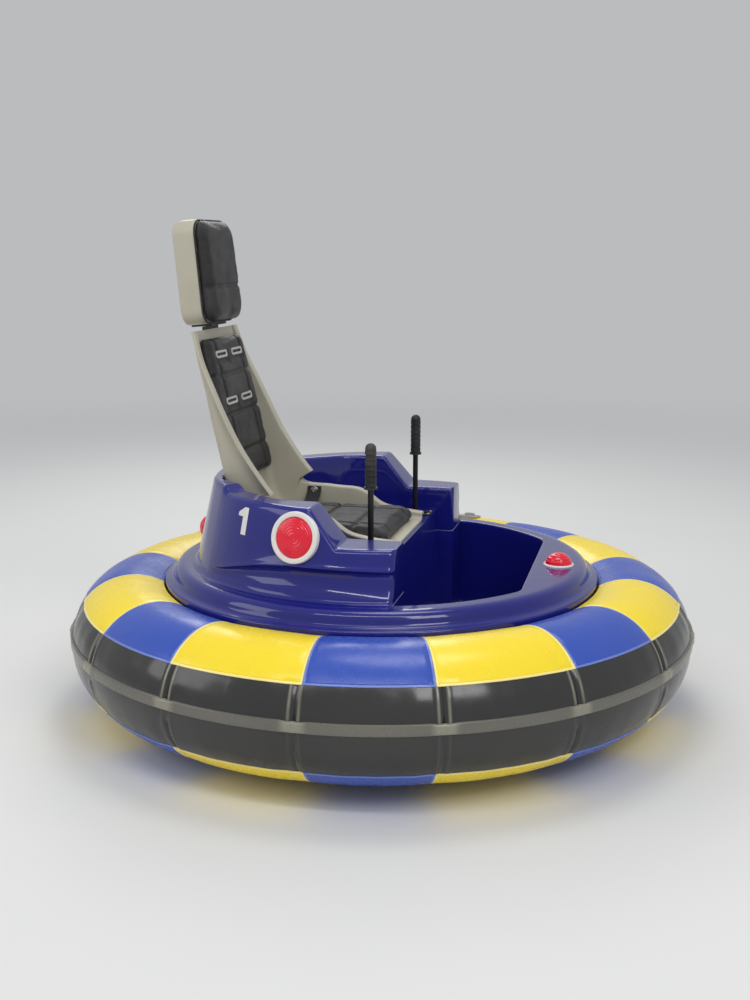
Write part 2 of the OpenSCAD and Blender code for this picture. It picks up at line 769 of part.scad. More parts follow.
// Puts its children on the back cushion's face, with Z out of it and X along the seat's width
module on_back(along, across) {
    s = seat_sections[0];
    face = seat_t + back_pad_t + 2 * seat_gap;
    up = [-sin(s[2]), 0, cos(s[2])];
    foot = seat_point(s, across, face) - up * along;
    translate(foot) rotate([0, 90 - s[2], 0]) rotate([0, 0, 90]) children();
}

module rounded_plate(size, r, h) {
    linear_extrude(h) {
        square([size[0], size[1] - 2 * r], center = true);
        square([size[0] - 2 * r, size[1]], center = true);
        for (i = [-1, 1], j = [-1, 1])
            translate([i * (size[0] / 2 - r), j * (size[1] / 2 - r)]) circle(r = r);
    }
}

// Bezels of the four harness slots in the seat's back
module belt_guides() {
    slot = [slot_l, slot_w];
    rim = 7;
    along = [78, 216];
    across = 0.32 * seat_half;
    color([0.75, 0.74, 0.7])
        for (down = along, side = [-1, 1])
            on_back(down, side * across)
                difference() {
                    rounded_plate(slot + [2 * rim, 2 * rim], slot_w, 4);
                    translate([0, 0, -1]) rounded_plate(slot, slot_w / 2 - 0.1, 6);
                }
}

// The lap belt's place on the cushion, ahead of the back's foot, and the size of its buckle
pan_top = riser_z + seat_t + pan_pad_t + 2 * seat_gap;
belt_ahead = 160;
belt_x = foot_x + belt_ahead;
buckle = [46, 60, 15];

// Half of the lap belt, lying on the cushion and rising to its anchor at the side
module belt_half(side) {
    low = pan_top + seat_gap;
    wing_y = seat_half - seat_t - seat_gap;
    tongue_y = buckle[1] / 2 + seat_gap;
    bend_y = 0.75 * seat_half;
    anchor_l = 14;
    rise = low + belt_rise;
    knee = rise - anchor_l;
    color([0.07, 0.07, 0.08])
        translate([belt_x - belt_w / 2, 0, 0])
            rotate([90, 0, 90])
                linear_extrude(belt_w)
                    polygon([for (p = [
                        [tongue_y, low], [bend_y, low], [wing_y - 2, knee], [wing_y, rise],
                        [wing_y - belt_t, rise], [wing_y - 2 - belt_t, knee + 1],
                        [bend_y - 1, low + belt_t], [tongue_y, low + belt_t]])
                        [side * p[0], p[1]]]);
}

module belt_left() { belt_half(1); }
module belt_right() { belt_half(-1); }

module belt_buckle() {
    color([0.1, 0.1, 0.1])
        translate([belt_x, 0, pan_top + seat_gap])
            rounded_plate([buckle[0], buckle[1]], 8, buckle[2]);
}

// Foot of the headrest, and the x of its rear face there, behind the seat back's top
rest_behind = 40;
rest_z = riser_z + back_h + rest_gap;
rest_rear_x = seat_sections[0][0] - rest_behind;

// The headrest's own leaning frame: X forward out of its back, Z up from its foot
module at_headrest() {
    translate([rest_rear_x, 0, rest_z]) rotate([0, -rest_lean, 0]) children();
}

// The headrest's rounded outline, drawn in by an inset and as deep as asked for
module headrest_outline(inset, depth) {
    translate([0, 0, rest_h / 2])
        rotate([90, 0, 90])
            rounded_plate([rest_w - 2 * inset, rest_h - 2 * inset], rest_corner_r - inset, depth);
}

// Moulded back of the headrest, rounded along its rear edge at the top
module headrest_shell() {
    r = rest_back_r;
    color([0.72, 0.69, 0.6])
        at_headrest()
            intersection() {
                headrest_outline(0, rest_t);
                rotate([90, 0, 0])
                    linear_extrude(far, center = true) {
                        square([rest_t, rest_h - r]);
                        translate([r, 0]) square([rest_t - r, rest_h]);
                        translate([r, rest_h - r]) circle(r = r);
                    }
            }
}

// Pad on the headrest's front, thicker at its foot
module headrest_pad() {
    inset = 2;
    color([0.06, 0.06, 0.065])
        at_headrest()
            translate([rest_t + seat_gap, 0, 0])
                intersection() {
                    headrest_outline(inset, rest_pad_t + rest_wedge);
                    rotate([90, 0, 0])
                        linear_extrude(far, center = true)
                            polygon([
                                [0, 0], [rest_pad_t + rest_wedge, 0], [rest_pad_t, rest_h], [0, rest_h]
                            ]);
                }
}

// Bent steel plate up the seat's back, with a flange under the headrest
module headrest_bracket() {
    s = seat_sections[0];
    out = -[cos(s[2]), sin(s[2])];
    down = [sin(s[2]), -cos(s[2])];
    top = [s[0], s[1] + seat_gap] + out * seat_gap;
    steel = 6;
    width = 120;
    overlap = 90;
    flange_l = rest_t - 2;
    flange_z = rest_z - seat_gap - steel;
    color([0.1, 0.1, 0.1]) {
        rotate([90, 0, 0])
            linear_extrude(width, center = true)
                polygon([
                    top + down * overlap, top, [top[0], flange_z + 2], [top[0] - steel, flange_z + 2],
                    top + out * steel, top + down * overlap + out * steel
                ]);
        at_headrest()
            translate([1, -width / 2, -steel - seat_gap]) cube([flange_l, width, steel]);
    }
}

// Puts its children on the pods' leaning wall, with Z straight out of the wall
module on_wall(azimuth, z) {
    rotate([0, 0, azimuth])
        translate([wall_r(z), 0, z])
            rotate([0, 90 - wall_tilt, 0])
                children();
}

// How far a lamp's body reaches back through the wall that holds it
lamp_sink = 13;

module lamp_ring(ring_d, lens_d, h) {
    lead = 3;
    rotate_extrude()
        polygon([
            [lens_d / 2, -lamp_sink], [ring_d / 2, -lamp_sink], [ring_d / 2, h - lead],
            [ring_d / 2 - lead, h], [lens_d / 2 + lead, h], [lens_d / 2, h - lead]
        ]);
}

// A lens with an upright rim and a domed face of the height asked for
module lamp_dome(lens_d, h) {
    r = lens_d / 2 - seat_gap;
    ball = (r * r + h * h) / (2 * h);
    rim = 3;
    rotate_extrude()
        intersection() {
            translate([0, -lamp_sink]) square([r, lamp_sink + rim + h]);
            translate([0, rim + h - ball]) circle(r = ball);
        }
}

// Azimuth, height, ring, lens, ring height and dome height of the lamps on the wall
wall_lamps = [
    [side_lamp_az, deck_z + side_lamp_h, side_ring_d, side_lens_d, 9, 12],
    [-side_lamp_az, deck_z + side_lamp_h, side_ring_d, side_lens_d, 9, 12],
    [180, deck_z + rear_lamp_h, rear_ring_d, rear_lens_d, 9, 36]
];
nose_lamp_x = well_front + nose_lamp_in;
nose_dome_h = 32;

// Round holes in the pods and the cowl that the lamps sit in
module lamp_holes() {
    for (lamp = wall_lamps)
        on_wall(lamp[0], lamp[1])
            translate([0, 0, -2 * lamp_sink]) cylinder(r = lamp[2] / 2 + seat_gap, h = 4 * lamp_sink);
}

module lamp_bezels() {
    color([0.92, 0.92, 0.92]) {
        for (lamp = wall_lamps)
            on_wall(lamp[0], lamp[1]) lamp_ring(lamp[2], lamp[3], lamp[4]);
        translate([nose_lamp_x, 0, deck_z]) lamp_ring(nose_ring_d, nose_lens_d, 5);
    }
}

module lamp_lenses() {
    color([0.85, 0.08, 0.14]) {
        for (lamp = wall_lamps)
            on_wall(lamp[0], lamp[1]) lamp_dome(lamp[3], lamp[5]);
        translate([nose_lamp_x, 0, deck_z]) lamp_dome(nose_lens_d, nose_dome_h);
    }
}

// Half of the length of a lever's hub on its pin, and the radius of its ears
hub_half = 13;
ear_r = 16;

// Slotted plate on the riser for each lever, with the pivot's ears and pin below it
module lever_mounts() {
    plate_rim = 13;
    plate = lever_slot + 2 * [plate_rim, plate_rim];
    plate_r = 10;
    ear_t = 5;
    ear_gap = 0.6;
    ear_y = hub_half + ear_gap + ear_t / 2;
    color([0.08, 0.08, 0.08])
        for (side = [-1, 1])
            translate([lever_x, side * lever_y, 0]) {
                translate([0, 0, riser_z + seat_gap])
                    difference() {
                        rounded_plate(plate, plate_r, 5);
                        translate([0, 0, -1]) rounded_plate(lever_slot, plate_r, 10);
                    }
                for (s = [-1, 1])
                    translate([0, s * ear_y, 0]) {
                        translate([-ear_r, -ear_t / 2, lever_pivot_z])
                            cube([2 * ear_r, ear_t, lever_pivot_drop - body_t - seat_gap]);
                        translate([0, 0, lever_pivot_z])
                            rotate([90, 0, 0]) cylinder(r = ear_r, h = ear_t, center = true);
                    }
                translate([0, 0, lever_pivot_z])
                    rotate([90, 0, 0]) cylinder(d = pin_d, h = 2 * ear_y + ear_t, center = true);
            }
}

grip_foot = lever_top - grip_l;

module lever_shaft(side) {
    color([0.12, 0.12, 0.12])
        translate([lever_x, side * lever_y, 0])
            difference() {
                union() {
                    translate([0, 0, lever_pivot_z])
                        cylinder(d = lever_d, h = grip_foot + grip_socket - lever_pivot_z);
                    translate([0, 0, lever_pivot_z])
                        rotate([90, 0, 0]) cylinder(r = ear_r - 2, h = 2 * hub_half, center = true);
                }
                translate([0, 0, lever_pivot_z])
                    rotate([90, 0, 0]) cylinder(r = pin_d / 2 + run_gap, h = far, center = true);
            }
}

// Moulded grip with a flared foot, finger grooves and a domed top
module lever_grip(side) {
    ribs = 7;
    pitch = (grip_l - 26) / ribs;
    r = grip_d / 2;
    color([0.04, 0.04, 0.04])
        translate([lever_x, side * lever_y, 0])
            difference() {
                union() {
                    translate([0, 0, grip_foot]) cylinder(r = r + 3, h = 6);
                    translate([0, 0, grip_foot + 6]) cylinder(r = r - 2, h = grip_l - 6 - r);
                    for (i = [0:ribs - 1])
                        translate([0, 0, grip_foot + 9 + i * pitch]) cylinder(r = r, h = pitch - 3);
                    translate([0, 0, lever_top - r]) sphere(r = r - 0.5);
                }
                translate([0, 0, grip_foot - 1])
                    cylinder(d = lever_d + 2 * run_gap, h = grip_socket + 1 + seat_gap);
            }
}

module lever_shaft_left() { lever_shaft(1); }
module lever_shaft_right() { lever_shaft(-1); }
module lever_grip_left() { lever_grip(1); }
module lever_grip_right() { lever_grip(-1); }

// One battery beside the car's middle, under the seat
module battery(side) {
    ahead = 43;
    apart = 8;
    color([0.35, 0.36, 0.38])
        translate([ahead - bay_rear, side > 0 ? apart : -apart - battery_w, floor_z + seat_gap])
            cube([battery_l, battery_w, battery_h]);
}

module battery_left() { battery(1); }
module battery_right() { battery(-1); }

// Outer faces of the mounts, inside the wheels, and of the motors behind them
mount_in = 22;
mount_y = wheel_inner_y - mount_in;
motor_y = mount_y - mount_t - seat_gap;
// Radius of the boss of a mount's plate round the shaft, and the motors' stepped nose
mount_r = 38;
gear_l = 46;

// Steel plates that hang the two gear motors and carry the wheel shafts
module drive_mounts() {
    half = 50;
    foot = 28;
    drop = 22;
    color([0.3, 0.3, 0.31])
        for (side = [-1, 1])
            translate([0, side * (mount_y - mount_t / 2), 0])
                difference() {
                    rotate([90, 0, 0])
                        translate([0, 0, -mount_t / 2])
                            linear_extrude(mount_t)
                                polygon([
                                    [-half, plate_z - seat_gap], [-half, plate_z - drop],
                                    [-foot, axle_z - mount_r], [foot, axle_z - mount_r],
                                    [half, plate_z - drop], [half, plate_z - seat_gap]]);
                    translate([0, 0, axle_z])
                        rotate([90, 0, 0]) cylinder(r = axle_d / 2 + run_gap, h = far, center = true);
                }
}

// Gear motor with a blind bore for the wheel's shaft
module drive_motor(side) {
    blind = 34;
    step = 8;
    color([0.42, 0.42, 0.44])
        translate([0, side * motor_y, axle_z])
            rotate([side * 90, 0, 0])
                difference() {
                    union() {
                        cylinder(d = motor_d, h = gear_l);
                        translate([0, 0, gear_l]) cylinder(d = motor_d - step, h = motor_l - gear_l);
                    }
                    translate([0, 0, -1]) cylinder(r = axle_d / 2 + run_gap, h = blind + 1);
                }
}

module drive_motor_left() { drive_motor(1); }
module drive_motor_right() { drive_motor(-1); }

rim_r = wheel_d / 2 - tyre_t;

// Cast hub with five windows and its shaft, turned about the wheel's own axis
module drive_hub(side) {
    shaft_l = 30;
    shaft_in = mount_y - mount_t - shaft_l;
    windows = 5;
    window_r = 12;
    window_in = 30;
    rim_t = 6;
    web_t = 12;
    boss_t = 14;
    edge = 4;
    face = wheel_inner_y + edge;
    width = wheel_w - 2 * edge;
    color([0.5, 0.5, 0.52])
        translate([0, 0, axle_z])
            rotate([-side * 90, 0, 0]) {
                translate([0, 0, shaft_in]) cylinder(d = axle_d, h = wheel_y + wheel_w / 2 - shaft_in);
                difference() {
                    union() {
                        translate([0, 0, wheel_y - web_t / 2]) cylinder(r = rim_r - rim_t, h = web_t);
                        translate([0, 0, face]) cylinder(r = axle_d / 2 + boss_t, h = width);
                        difference() {
                            translate([0, 0, face]) cylinder(r = rim_r - seat_gap, h = width);
                            cylinder(r = rim_r - rim_t, h = far);
                        }
                    }
                    for (i = [0:windows - 1])
                        rotate([0, 0, i * 360 / windows])
                            translate([rim_r - window_in, 0, 0]) cylinder(r = window_r, h = far);
                }
            }
}

module drive_hub_left() { drive_hub(1); }
module drive_hub_right() { drive_hub(-1); }

// Solid rubber tyre with rounded shoulders and three grooves
module drive_tyre(side) {
    shoulder = 9;
    groove = [6, 3];
    groove_pitch = 10;
    half = wheel_w / 2;
    r = wheel_d / 2;
    color([0.05, 0.05, 0.05])
        translate([0, side * wheel_y, axle_z])
            rotate([90, 0, 0])
                rotate_extrude()
                    difference() {
                        union() {
                            translate([rim_r, -half]) square([r - rim_r - shoulder, wheel_w]);
                            translate([rim_r, -half + shoulder]) square([r - rim_r, wheel_w - 2 * shoulder]);
                            for (s = [-1, 1])
                                translate([r - shoulder, s * (half - shoulder)]) circle(r = shoulder);
                        }
                        for (s = [-1, 0, 1])
                            translate([r, s * groove_pitch]) square(groove, center = true);
                    }
}

module drive_tyre_left() { drive_tyre(1); }
module drive_tyre_right() { drive_tyre(-1); }

// The casters' axle, top plate, fork crown, king pin and axle bolt
caster_axle_z = caster_d / 2;
caster_plate = [96, 84];
caster_plate_t = 5;
caster_crown_z = 98;
caster_crown_r = 24;
caster_pin_d = 12;
caster_bolt_d = 10;

// Top plate, bearing cup and king pin of each caster, bolted under the chassis plate
module caster_plates() {
    top = plate_z - seat_gap;
    cup_low = caster_crown_z + 8;
    color([0.55, 0.55, 0.57])
        for (end = [-1, 1])
            translate([end * caster_x, 0, 0]) {
                translate([0, 0, top - caster_plate_t]) rounded_plate(caster_plate, 10, caster_plate_t);
                translate([0, 0, cup_low])
                    cylinder(r = caster_crown_r + 2, h = top - caster_plate_t - cup_low);
                translate([0, 0, caster_crown_z - 8])
                    cylinder(d = caster_pin_d, h = cup_low - caster_crown_z + 8);
                translate([0, 0, caster_crown_z - 10]) cylinder(r = 10, h = 4);
            }
}

// Swivelling fork, with its axle bolt through the two legs
module caster_fork(end) {
    inside = caster_w / 2 + 3;
    steel = 4;
    crown_low = caster_crown_z - 5.4;
    lean = -caster_trail;
    color([0.6, 0.6, 0.62])
        translate([end * caster_x, 0, 0])
            difference() {
                union() {
                    translate([0, 0, crown_low]) cylinder(r = caster_crown_r, h = 13);
                    for (s = [-1, 1])
                        translate([0, s * (inside + steel / 2), 0])
                            rotate([90, 0, 0])
                                linear_extrude(steel, center = true) {
                                    polygon([[-20, crown_low + 5], [20, crown_low + 5],
                                        [lean + 12, caster_axle_z], [lean - 12, caster_axle_z]]);
                                    translate([lean, caster_axle_z]) circle(r = 12);
                                }
                    translate([-20, -inside - steel, crown_low]) cube([40, 2 * (inside + steel), 5]);
                    translate([lean, 0, caster_axle_z])
                        rotate([90, 0, 0])
                            cylinder(d = caster_bolt_d, h = 2 * (inside + steel + 4), center = true);
                }
                translate([0, 0, crown_low - 10]) cylinder(r = caster_pin_d / 2 + run_gap, h = 40);
                translate([0, 0, crown_low - 10]) cylinder(r = 12, h = 10);
            }
}

module caster_fork_front() { caster_fork(1); }
module caster_fork_rear() { caster_fork(-1); }

module caster_wheel(end) {
    round = 6;
    dish = 5;
    tyre = 14;
    half = caster_w / 2;
    r = caster_d / 2;
    bore_r = caster_bolt_d / 2 + run_gap;
    color([0.15, 0.15, 0.16])
        translate([end * caster_x - caster_trail, 0, caster_axle_z])
            rotate([90, 0, 0])
                rotate_extrude() {
                    translate([bore_r, -half]) square([12, caster_w]);
                    translate([bore_r, -half + dish]) square([r - round - bore_r, caster_w - 2 * dish]);
                    translate([r - tyre, -half + round]) square([tyre, caster_w - 2 * round]);
                    translate([r - tyre, -half]) square([tyre - round, caster_w]);
                    for (s = [-1, 1])
                        translate([r - round, s * (half - round)]) circle(r = round);
                }
}

module caster_wheel_front() { caster_wheel(1); }
module caster_wheel_rear() { caster_wheel(-1); }

tube();
tube_panels_yellow();
tube_panels_blue();
rub_strip();
tube_valve();
tube_cradle();
chassis_plate();
tub();
floor_mat();
deck();
pod_left();
pod_right();
rear_cowl();
seat_riser();
seat_shell();
seat_cushion();
back_cushion();
belt_guides();
belt_left();
belt_right();
belt_buckle();
headrest_shell();
headrest_pad();
headrest_bracket();
lamp_bezels();
lamp_lenses();
lever_mounts();
lever_shaft_left();
lever_shaft_right();
lever_grip_left();
lever_grip_right();
battery_left();
battery_right();
drive_motor_left();
drive_motor_right();
drive_mounts();
drive_hub_left();
drive_hub_right();
drive_tyre_left();
drive_tyre_right();
caster_plates();
caster_fork_front();
caster_fork_rear();
caster_wheel_front();
caster_wheel_rear();
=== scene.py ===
# %% [markdown]
# # A round battery bumper car
# The car is a ring of air in a vinyl skin. A moulded body stands in the ring and carries a bucket
# seat, two drive levers and four lamps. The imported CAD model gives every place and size, so this
# script only dresses it: each soft or moulded form is made again with its real curves, and every
# rigid part that is already right gets a better finish.

import json
from math import acos, asin, atan, atan2, cos, degrees, pi, radians, sin, sqrt, tan

import bmesh
import bpy
import numpy as np
from mathutils import Matrix, Vector
from mathutils.bvhtree import BVHTree


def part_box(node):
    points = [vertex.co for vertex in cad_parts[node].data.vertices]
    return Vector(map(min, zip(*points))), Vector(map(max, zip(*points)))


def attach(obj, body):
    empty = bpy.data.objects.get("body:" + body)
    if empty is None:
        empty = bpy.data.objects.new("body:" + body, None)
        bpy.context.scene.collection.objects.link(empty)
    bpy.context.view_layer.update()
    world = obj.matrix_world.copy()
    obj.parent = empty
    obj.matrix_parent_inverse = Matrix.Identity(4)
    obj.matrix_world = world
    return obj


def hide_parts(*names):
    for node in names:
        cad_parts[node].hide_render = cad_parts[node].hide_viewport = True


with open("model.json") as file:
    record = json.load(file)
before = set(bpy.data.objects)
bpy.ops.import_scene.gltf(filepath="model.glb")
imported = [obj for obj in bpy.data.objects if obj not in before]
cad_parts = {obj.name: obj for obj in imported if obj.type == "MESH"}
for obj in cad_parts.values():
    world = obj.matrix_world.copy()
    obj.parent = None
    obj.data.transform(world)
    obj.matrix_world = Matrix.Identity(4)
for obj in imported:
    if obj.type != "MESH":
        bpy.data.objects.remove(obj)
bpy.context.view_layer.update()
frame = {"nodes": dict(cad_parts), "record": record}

# %% [markdown]
# ## Camera, light and floor
# The camera stands where the photographer stood, a little above the headrest and on the car's
# right, and looks straight at the car. Big soft lamps and a pale room give glossy vinyl and gelcoat
# something calm to mirror, and one long bar above the camera draws the crisp lines of light that a
# hall's lamps leave on rounded edges.

# %% New objects and meshes
def add_object(name, data):
    """A new object in the scene, with a camera, a lamp or a mesh as its data."""
    thing = bpy.data.objects.new(name, data)
    bpy.context.scene.collection.objects.link(thing)
    return thing


def plain_mesh(name, points, faces, edges=()):
    """A new mesh from points, faces and loose edges."""
    mesh = bpy.data.meshes.new(name)
    mesh.from_pydata([tuple(point) for point in points], list(edges), faces)
    return mesh


def aim(thing, place, target):
    """Puts a camera or a lamp at a place and turns it to a target."""
    thing.location = place
    thing.rotation_euler = (target - Vector(place)).to_track_quat("-Z", "Y").to_euler()


# %% Camera
EYE = Vector((0.814, -3.484, 1.326))
LOOK_AT = Vector((-0.02, 0.0, 0.60))
LENS_MM = 44.5

camera = add_object("camera", bpy.data.cameras.new("camera"))
camera.data.lens = LENS_MM
aim(camera, EYE, LOOK_AT)
bpy.context.scene.camera = camera

# %% Soft lamps
LAMPS_LOOK_AT = Vector((0, 0, 0.5))


def soft_lamp(name, place, width, height, watts):
    """A rectangular lamp that looks at the middle of the car."""
    data = bpy.data.lights.new(name, "AREA")
    data.shape = "RECTANGLE"
    data.size = width
    data.size_y = height
    data.energy = watts
    aim(add_object(name, data), place, LAMPS_LOOK_AT)


soft_lamp("key_lamp", (2.6, -3.2, 3.6), 1.6, 1.6, 46)
soft_lamp("fill_lamp", (-3.6, -2.2, 2.4), 2.0, 2.0, 26)
soft_lamp("back_lamp", (-1.5, 3.8, 3.4), 2.2, 2.2, 44)
soft_lamp("top_lamp", (0.2, 0.4, 4.4), 1.6, 1.6, 30)
soft_lamp("bar_lamp", (0.2, -2.6, 3.7), 3.4, 0.22, 30)


# %% [markdown]
# ## Materials as expressions
# A finish is written the way one would say it: a base colour, a roughness, and a few formulas that
# change them over the surface. `Wire` wraps a shader socket so that `+`, `-`, `*`, `**` and `%` add
# Math nodes, and `Finish.node` makes any other node.

# %% Wire: a socket that Python arithmetic can use
def math_node(operation):
    """A method that feeds a wire and its other values to one Math node."""
    return lambda wire, *others: wire.maths(operation, wire, *others)


class Wire:
    """A shader socket that takes part in Python arithmetic."""

    def __init__(self, finish, socket):
        self.finish = finish
        self.socket = socket

    def maths(self, operation, *values):
        return self.finish.node("ShaderNodeMath", {"operation": operation}, dict(enumerate(values)))

    def __rsub__(self, other):
        return self.maths("SUBTRACT", other, self)

    def step(self, start, end):
        """A smooth change from 0 at start to 1 at end."""
        return self.finish.node(
            "ShaderNodeMapRange", {"interpolation_type": "SMOOTHSTEP"}, {0: self, 1: start, 2: end}
        )

    __add__ = __radd__ = math_node("ADD")
    __sub__ = math_node("SUBTRACT")
    __mul__ = __rmul__ = math_node("MULTIPLY")
    __pow__ = math_node("POWER")
    __mod__ = math_node("FLOORED_MODULO")
    size = math_node("ABSOLUTE")
    least = math_node("MINIMUM")
    sine = math_node("SINE")
    arctan2 = math_node("ARCTAN2")


# %% Tree: what materials and geometry trees share
class Tree:
    """A node tree; `node` adds any node to it."""

    def put(self, socket, value):
        if isinstance(value, Wire):
            self.tree.links.new(value.socket, socket)
        elif isinstance(value, tuple) and socket.type == "RGBA":
            socket.default_value = (*value, 1)
        else:
            socket.default_value = value

    def node(self, kind, settings, values, output=0):
        made = self.tree.nodes.new(kind)
        for key, value in settings.items():
            setattr(made, key, value)
        for key, value in values.items():
            self.put(made.inputs[key], value)
        return Wire(self, made.outputs[output])


# %% Finish: a material under construction
class Finish(Tree):
    """A Principled material with formulas for what varies over it."""

    def __init__(self, name, colour, roughness, **constants):
        self.name = name
        self.material = bpy.data.materials.new(name)
        self.material.use_nodes = True
        self.tree = self.material.node_tree
        self.shader = self.tree.nodes["Principled BSDF"]
        self.material.diffuse_color = (*colour, 1)
        self.feed("Base Color", colour)
        self.feed("Roughness", roughness)
        for key, value in constants.items():
            self.feed(key.replace("_", " "), value)

    def feed(self, name, value):
        self.put(self.shader.inputs[name], value)

    def place(self):
        """Object coordinates, which are metres in the car's own frame."""
        return self.node("ShaderNodeTexCoord", {}, {}, "Object")

    def axes(self):
        """X, Y and Z as three wires."""
        parts = self.tree.nodes.new("ShaderNodeSeparateXYZ")
        self.put(parts.inputs[0], self.place())
        return [Wire(self, socket) for socket in parts.outputs]

    def noise(self, scale, detail=4.0, roughness=0.5, where=None):
        values = {"Vector": where or self.place(), "Scale": scale, "Detail": detail, "Roughness": roughness}
        return self.node("ShaderNodeTexNoise", {}, values)

    def cells(self, scale):
        """The distance to the nearest edge between cells of leather grain."""
        values = {"Vector": self.place(), "Scale": scale}
        return self.node("ShaderNodeTexVoronoi", {"feature": "DISTANCE_TO_EDGE"}, values)

    def stretch(self, scale):
        """Object coordinates that are stretched along each axis."""
        return self.node("ShaderNodeMapping", {}, {"Vector": self.place(), "Scale": scale})

    def mix(self, share, low, high):
        """A colour between two colours."""
        settings = {"data_type": "RGBA", "clamp_factor": True}
        return self.node("ShaderNodeMix", settings, {0: share, 6: low, 7: high}, 2)

    def bump(self, height, distance):
        """Feeds a height, whose 1 stands so many metres high, to the shader's normal."""
        self.feed("Normal", self.node("ShaderNodeBump", {}, {"Height": height, "Distance": distance}))


def tint(colour, factor):
    """A colour made lighter or darker."""
    return tuple(min(1.0, channel * factor) for channel in colour)


# %% [markdown]
# ## Floor and room
# The floor is a pale sheet that keeps the car's shadow. Far away it fades into the colour of the
# room, so no horizon cuts through the picture. It isn't part of the object.

# %% Floor and world
FLOOR_HALF = 30.0
ROOM_COLOUR = (0.80, 0.81, 0.83)
ROOM_LIGHT = 0.62
FADE_NEAR = 2.6
FADE_FAR = 9.0

floor_finish = Finish("floor_pale", (0.78, 0.78, 0.77), 0.7)
floor_tone = floor_finish.noise(1.2)
floor_finish.feed("Base Color", floor_finish.mix(floor_tone, (0.76, 0.76, 0.75), (0.80, 0.80, 0.79)))
from_car = floor_finish.node(
    "ShaderNodeVectorMath", {"operation": "LENGTH"}, {0: floor_finish.place()}, "Value"
)
far_floor = floor_finish.node("ShaderNodeEmission", {}, {"Color": ROOM_COLOUR, "Strength": ROOM_LIGHT})
near_floor = Wire(floor_finish, floor_finish.shader.outputs[0])
fade = {0: from_car.step(FADE_NEAR, FADE_FAR), 1: near_floor, 2: far_floor}
floor_shader = floor_finish.node("ShaderNodeMixShader", {}, fade)
floor_finish.put(floor_finish.tree.nodes["Material Output"].inputs["Surface"], floor_shader)
corners = [(x * FLOOR_HALF, y * FLOOR_HALF, 0) for x, y in ((-1, -1), (1, -1), (1, 1), (-1, 1))]
floor_mesh = plain_mesh("studio_floor", corners, [(0, 1, 2, 3)])
floor_mesh.materials.append(floor_finish.material)
floor = add_object("studio_floor", floor_mesh)

world = bpy.data.worlds.new("room")
world.use_nodes = True
bpy.context.scene.world = world
backdrop = world.node_tree.nodes["Background"]
backdrop.inputs["Color"].default_value = (*ROOM_COLOUR, 1)
backdrop.inputs["Strength"].default_value = ROOM_LIGHT
bpy.context.scene.view_settings.view_transform = "Standard"

# %% [markdown]
# ## Vinyl, gelcoat, plastic, rubber and steel
# Each material slot of the record gets one finish. Vinyl is smooth with slow waves from the
# inflation, gelcoat is a deep colour under a clear coat, moulded plastic has a fine grain, and steel
# parts under the car are painted or plated and a little dusty.

# %% Sizes of the tube, from the frame
strip_low, strip_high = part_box("rub_strip")
tube_low, tube_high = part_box("tube")
STRIP_OUT = 0.006
TUBE_R = (tube_high.z - tube_low.z) / 2
TUBE_Z = (tube_high.z + tube_low.z) / 2
RING_R = strip_high.x - STRIP_OUT - TUBE_R
STRIP_Z = (strip_low.z + strip_high.z) / 2
STRIP_H = strip_high.z - strip_low.z
SEAM_COUNT = 16
SEAM_STEP = 2 * pi / SEAM_COUNT
PANEL_START = radians(38.2)
YELLOW_SWEEP = radians(24.25)
BLUE_SWEEP = 2 * SEAM_STEP - YELLOW_SWEEP
print("tube radius", round(TUBE_R, 4), "on a ring of", round(RING_R, 4))

# %% Vinyl of the tube
BLACK_VINYL = (0.027, 0.027, 0.026)
# The strip's grey is partly its own colour and partly painted light: it is made paler to stand for the light
# its face catches.
STRIP_VINYL = (0.135, 0.130, 0.108)
YELLOW_VINYL = (0.98, 0.75, 0.025)
BLUE_VINYL = (0.032, 0.085, 0.46)
# Pale colour of the painted highlights: it stands in for the light that the weld ridges and the strip's
# bulges catch.
PAINTED_HIGHLIGHT = (0.42, 0.40, 0.30)
DUST = (0.34, 0.33, 0.31)
WELD_AT_R = 0.9


def add_dust(finish, colour, amount):
    """Mixes a thin, uneven film of pale dust into a colour."""
    film = finish.noise(9.0, 6.0, 0.62).step(0.42, 0.78) * amount
    finish.feed("Base Color", finish.mix(film, colour, DUST))


def inflated_vinyl(name, colour, roughness, dust):
    """Smooth coated vinyl with slow waves and a fine skin, as an air-filled tube shows."""
    finish = Finish(name, colour, roughness, Specular_IOR_Level=0.55)
    waves = finish.noise(5.0, 2.0)
    skin = finish.noise(420.0, 2.0)
    scuffs = finish.noise(14.0, 8.0, 0.7)
    finish.feed("Roughness", scuffs.step(0.4, 0.8) * 0.16 + roughness)
    finish.bump(waves * 0.9 + skin * 0.012, 0.004)
    add_dust(finish, colour, dust)
    return finish


def seam_angle(azimuth):
    """Angle from the nearest seam, for a wire or for numbers."""
    return (azimuth + SEAM_STEP / 2) % SEAM_STEP - SEAM_STEP / 2


def seam_offset(finish):
    """Metres from the nearest seam along the tube's side."""
    x, y, _ = finish.axes()
    return seam_angle(y.arctan2(x)).size() * WELD_AT_R


tube_vinyl = inflated_vinyl("tube_vinyl", BLACK_VINYL, 0.17, 0.10)
weld = seam_offset(tube_vinyl)
# Painted highlight: the twin weld ridges get a pale colour in place of the light they catch. It is faint
# below the strip, strong above it, and broken up by noise.
on_ridge = weld.step(0.007, 0.012) * (1 - weld.step(0.0135, 0.019))
_, _, height = tube_vinyl.axes()
highlight_breakup = tube_vinyl.noise(9.0, 4.0).step(0.3, 0.62)
painted_ridge_highlight = on_ridge * (0.05 + 0.42 * height.step(STRIP_Z - 0.02, STRIP_Z + 0.02)) * (0.35 + 0.65 * highlight_breakup)
cloudy = tube_vinyl.mix(tube_vinyl.noise(3.0, 5.0), tint(BLACK_VINYL, 0.75), tint(BLACK_VINYL, 1.4))
tube_vinyl.feed("Base Color", tube_vinyl.mix(painted_ridge_highlight, cloudy, PAINTED_HIGHLIGHT))

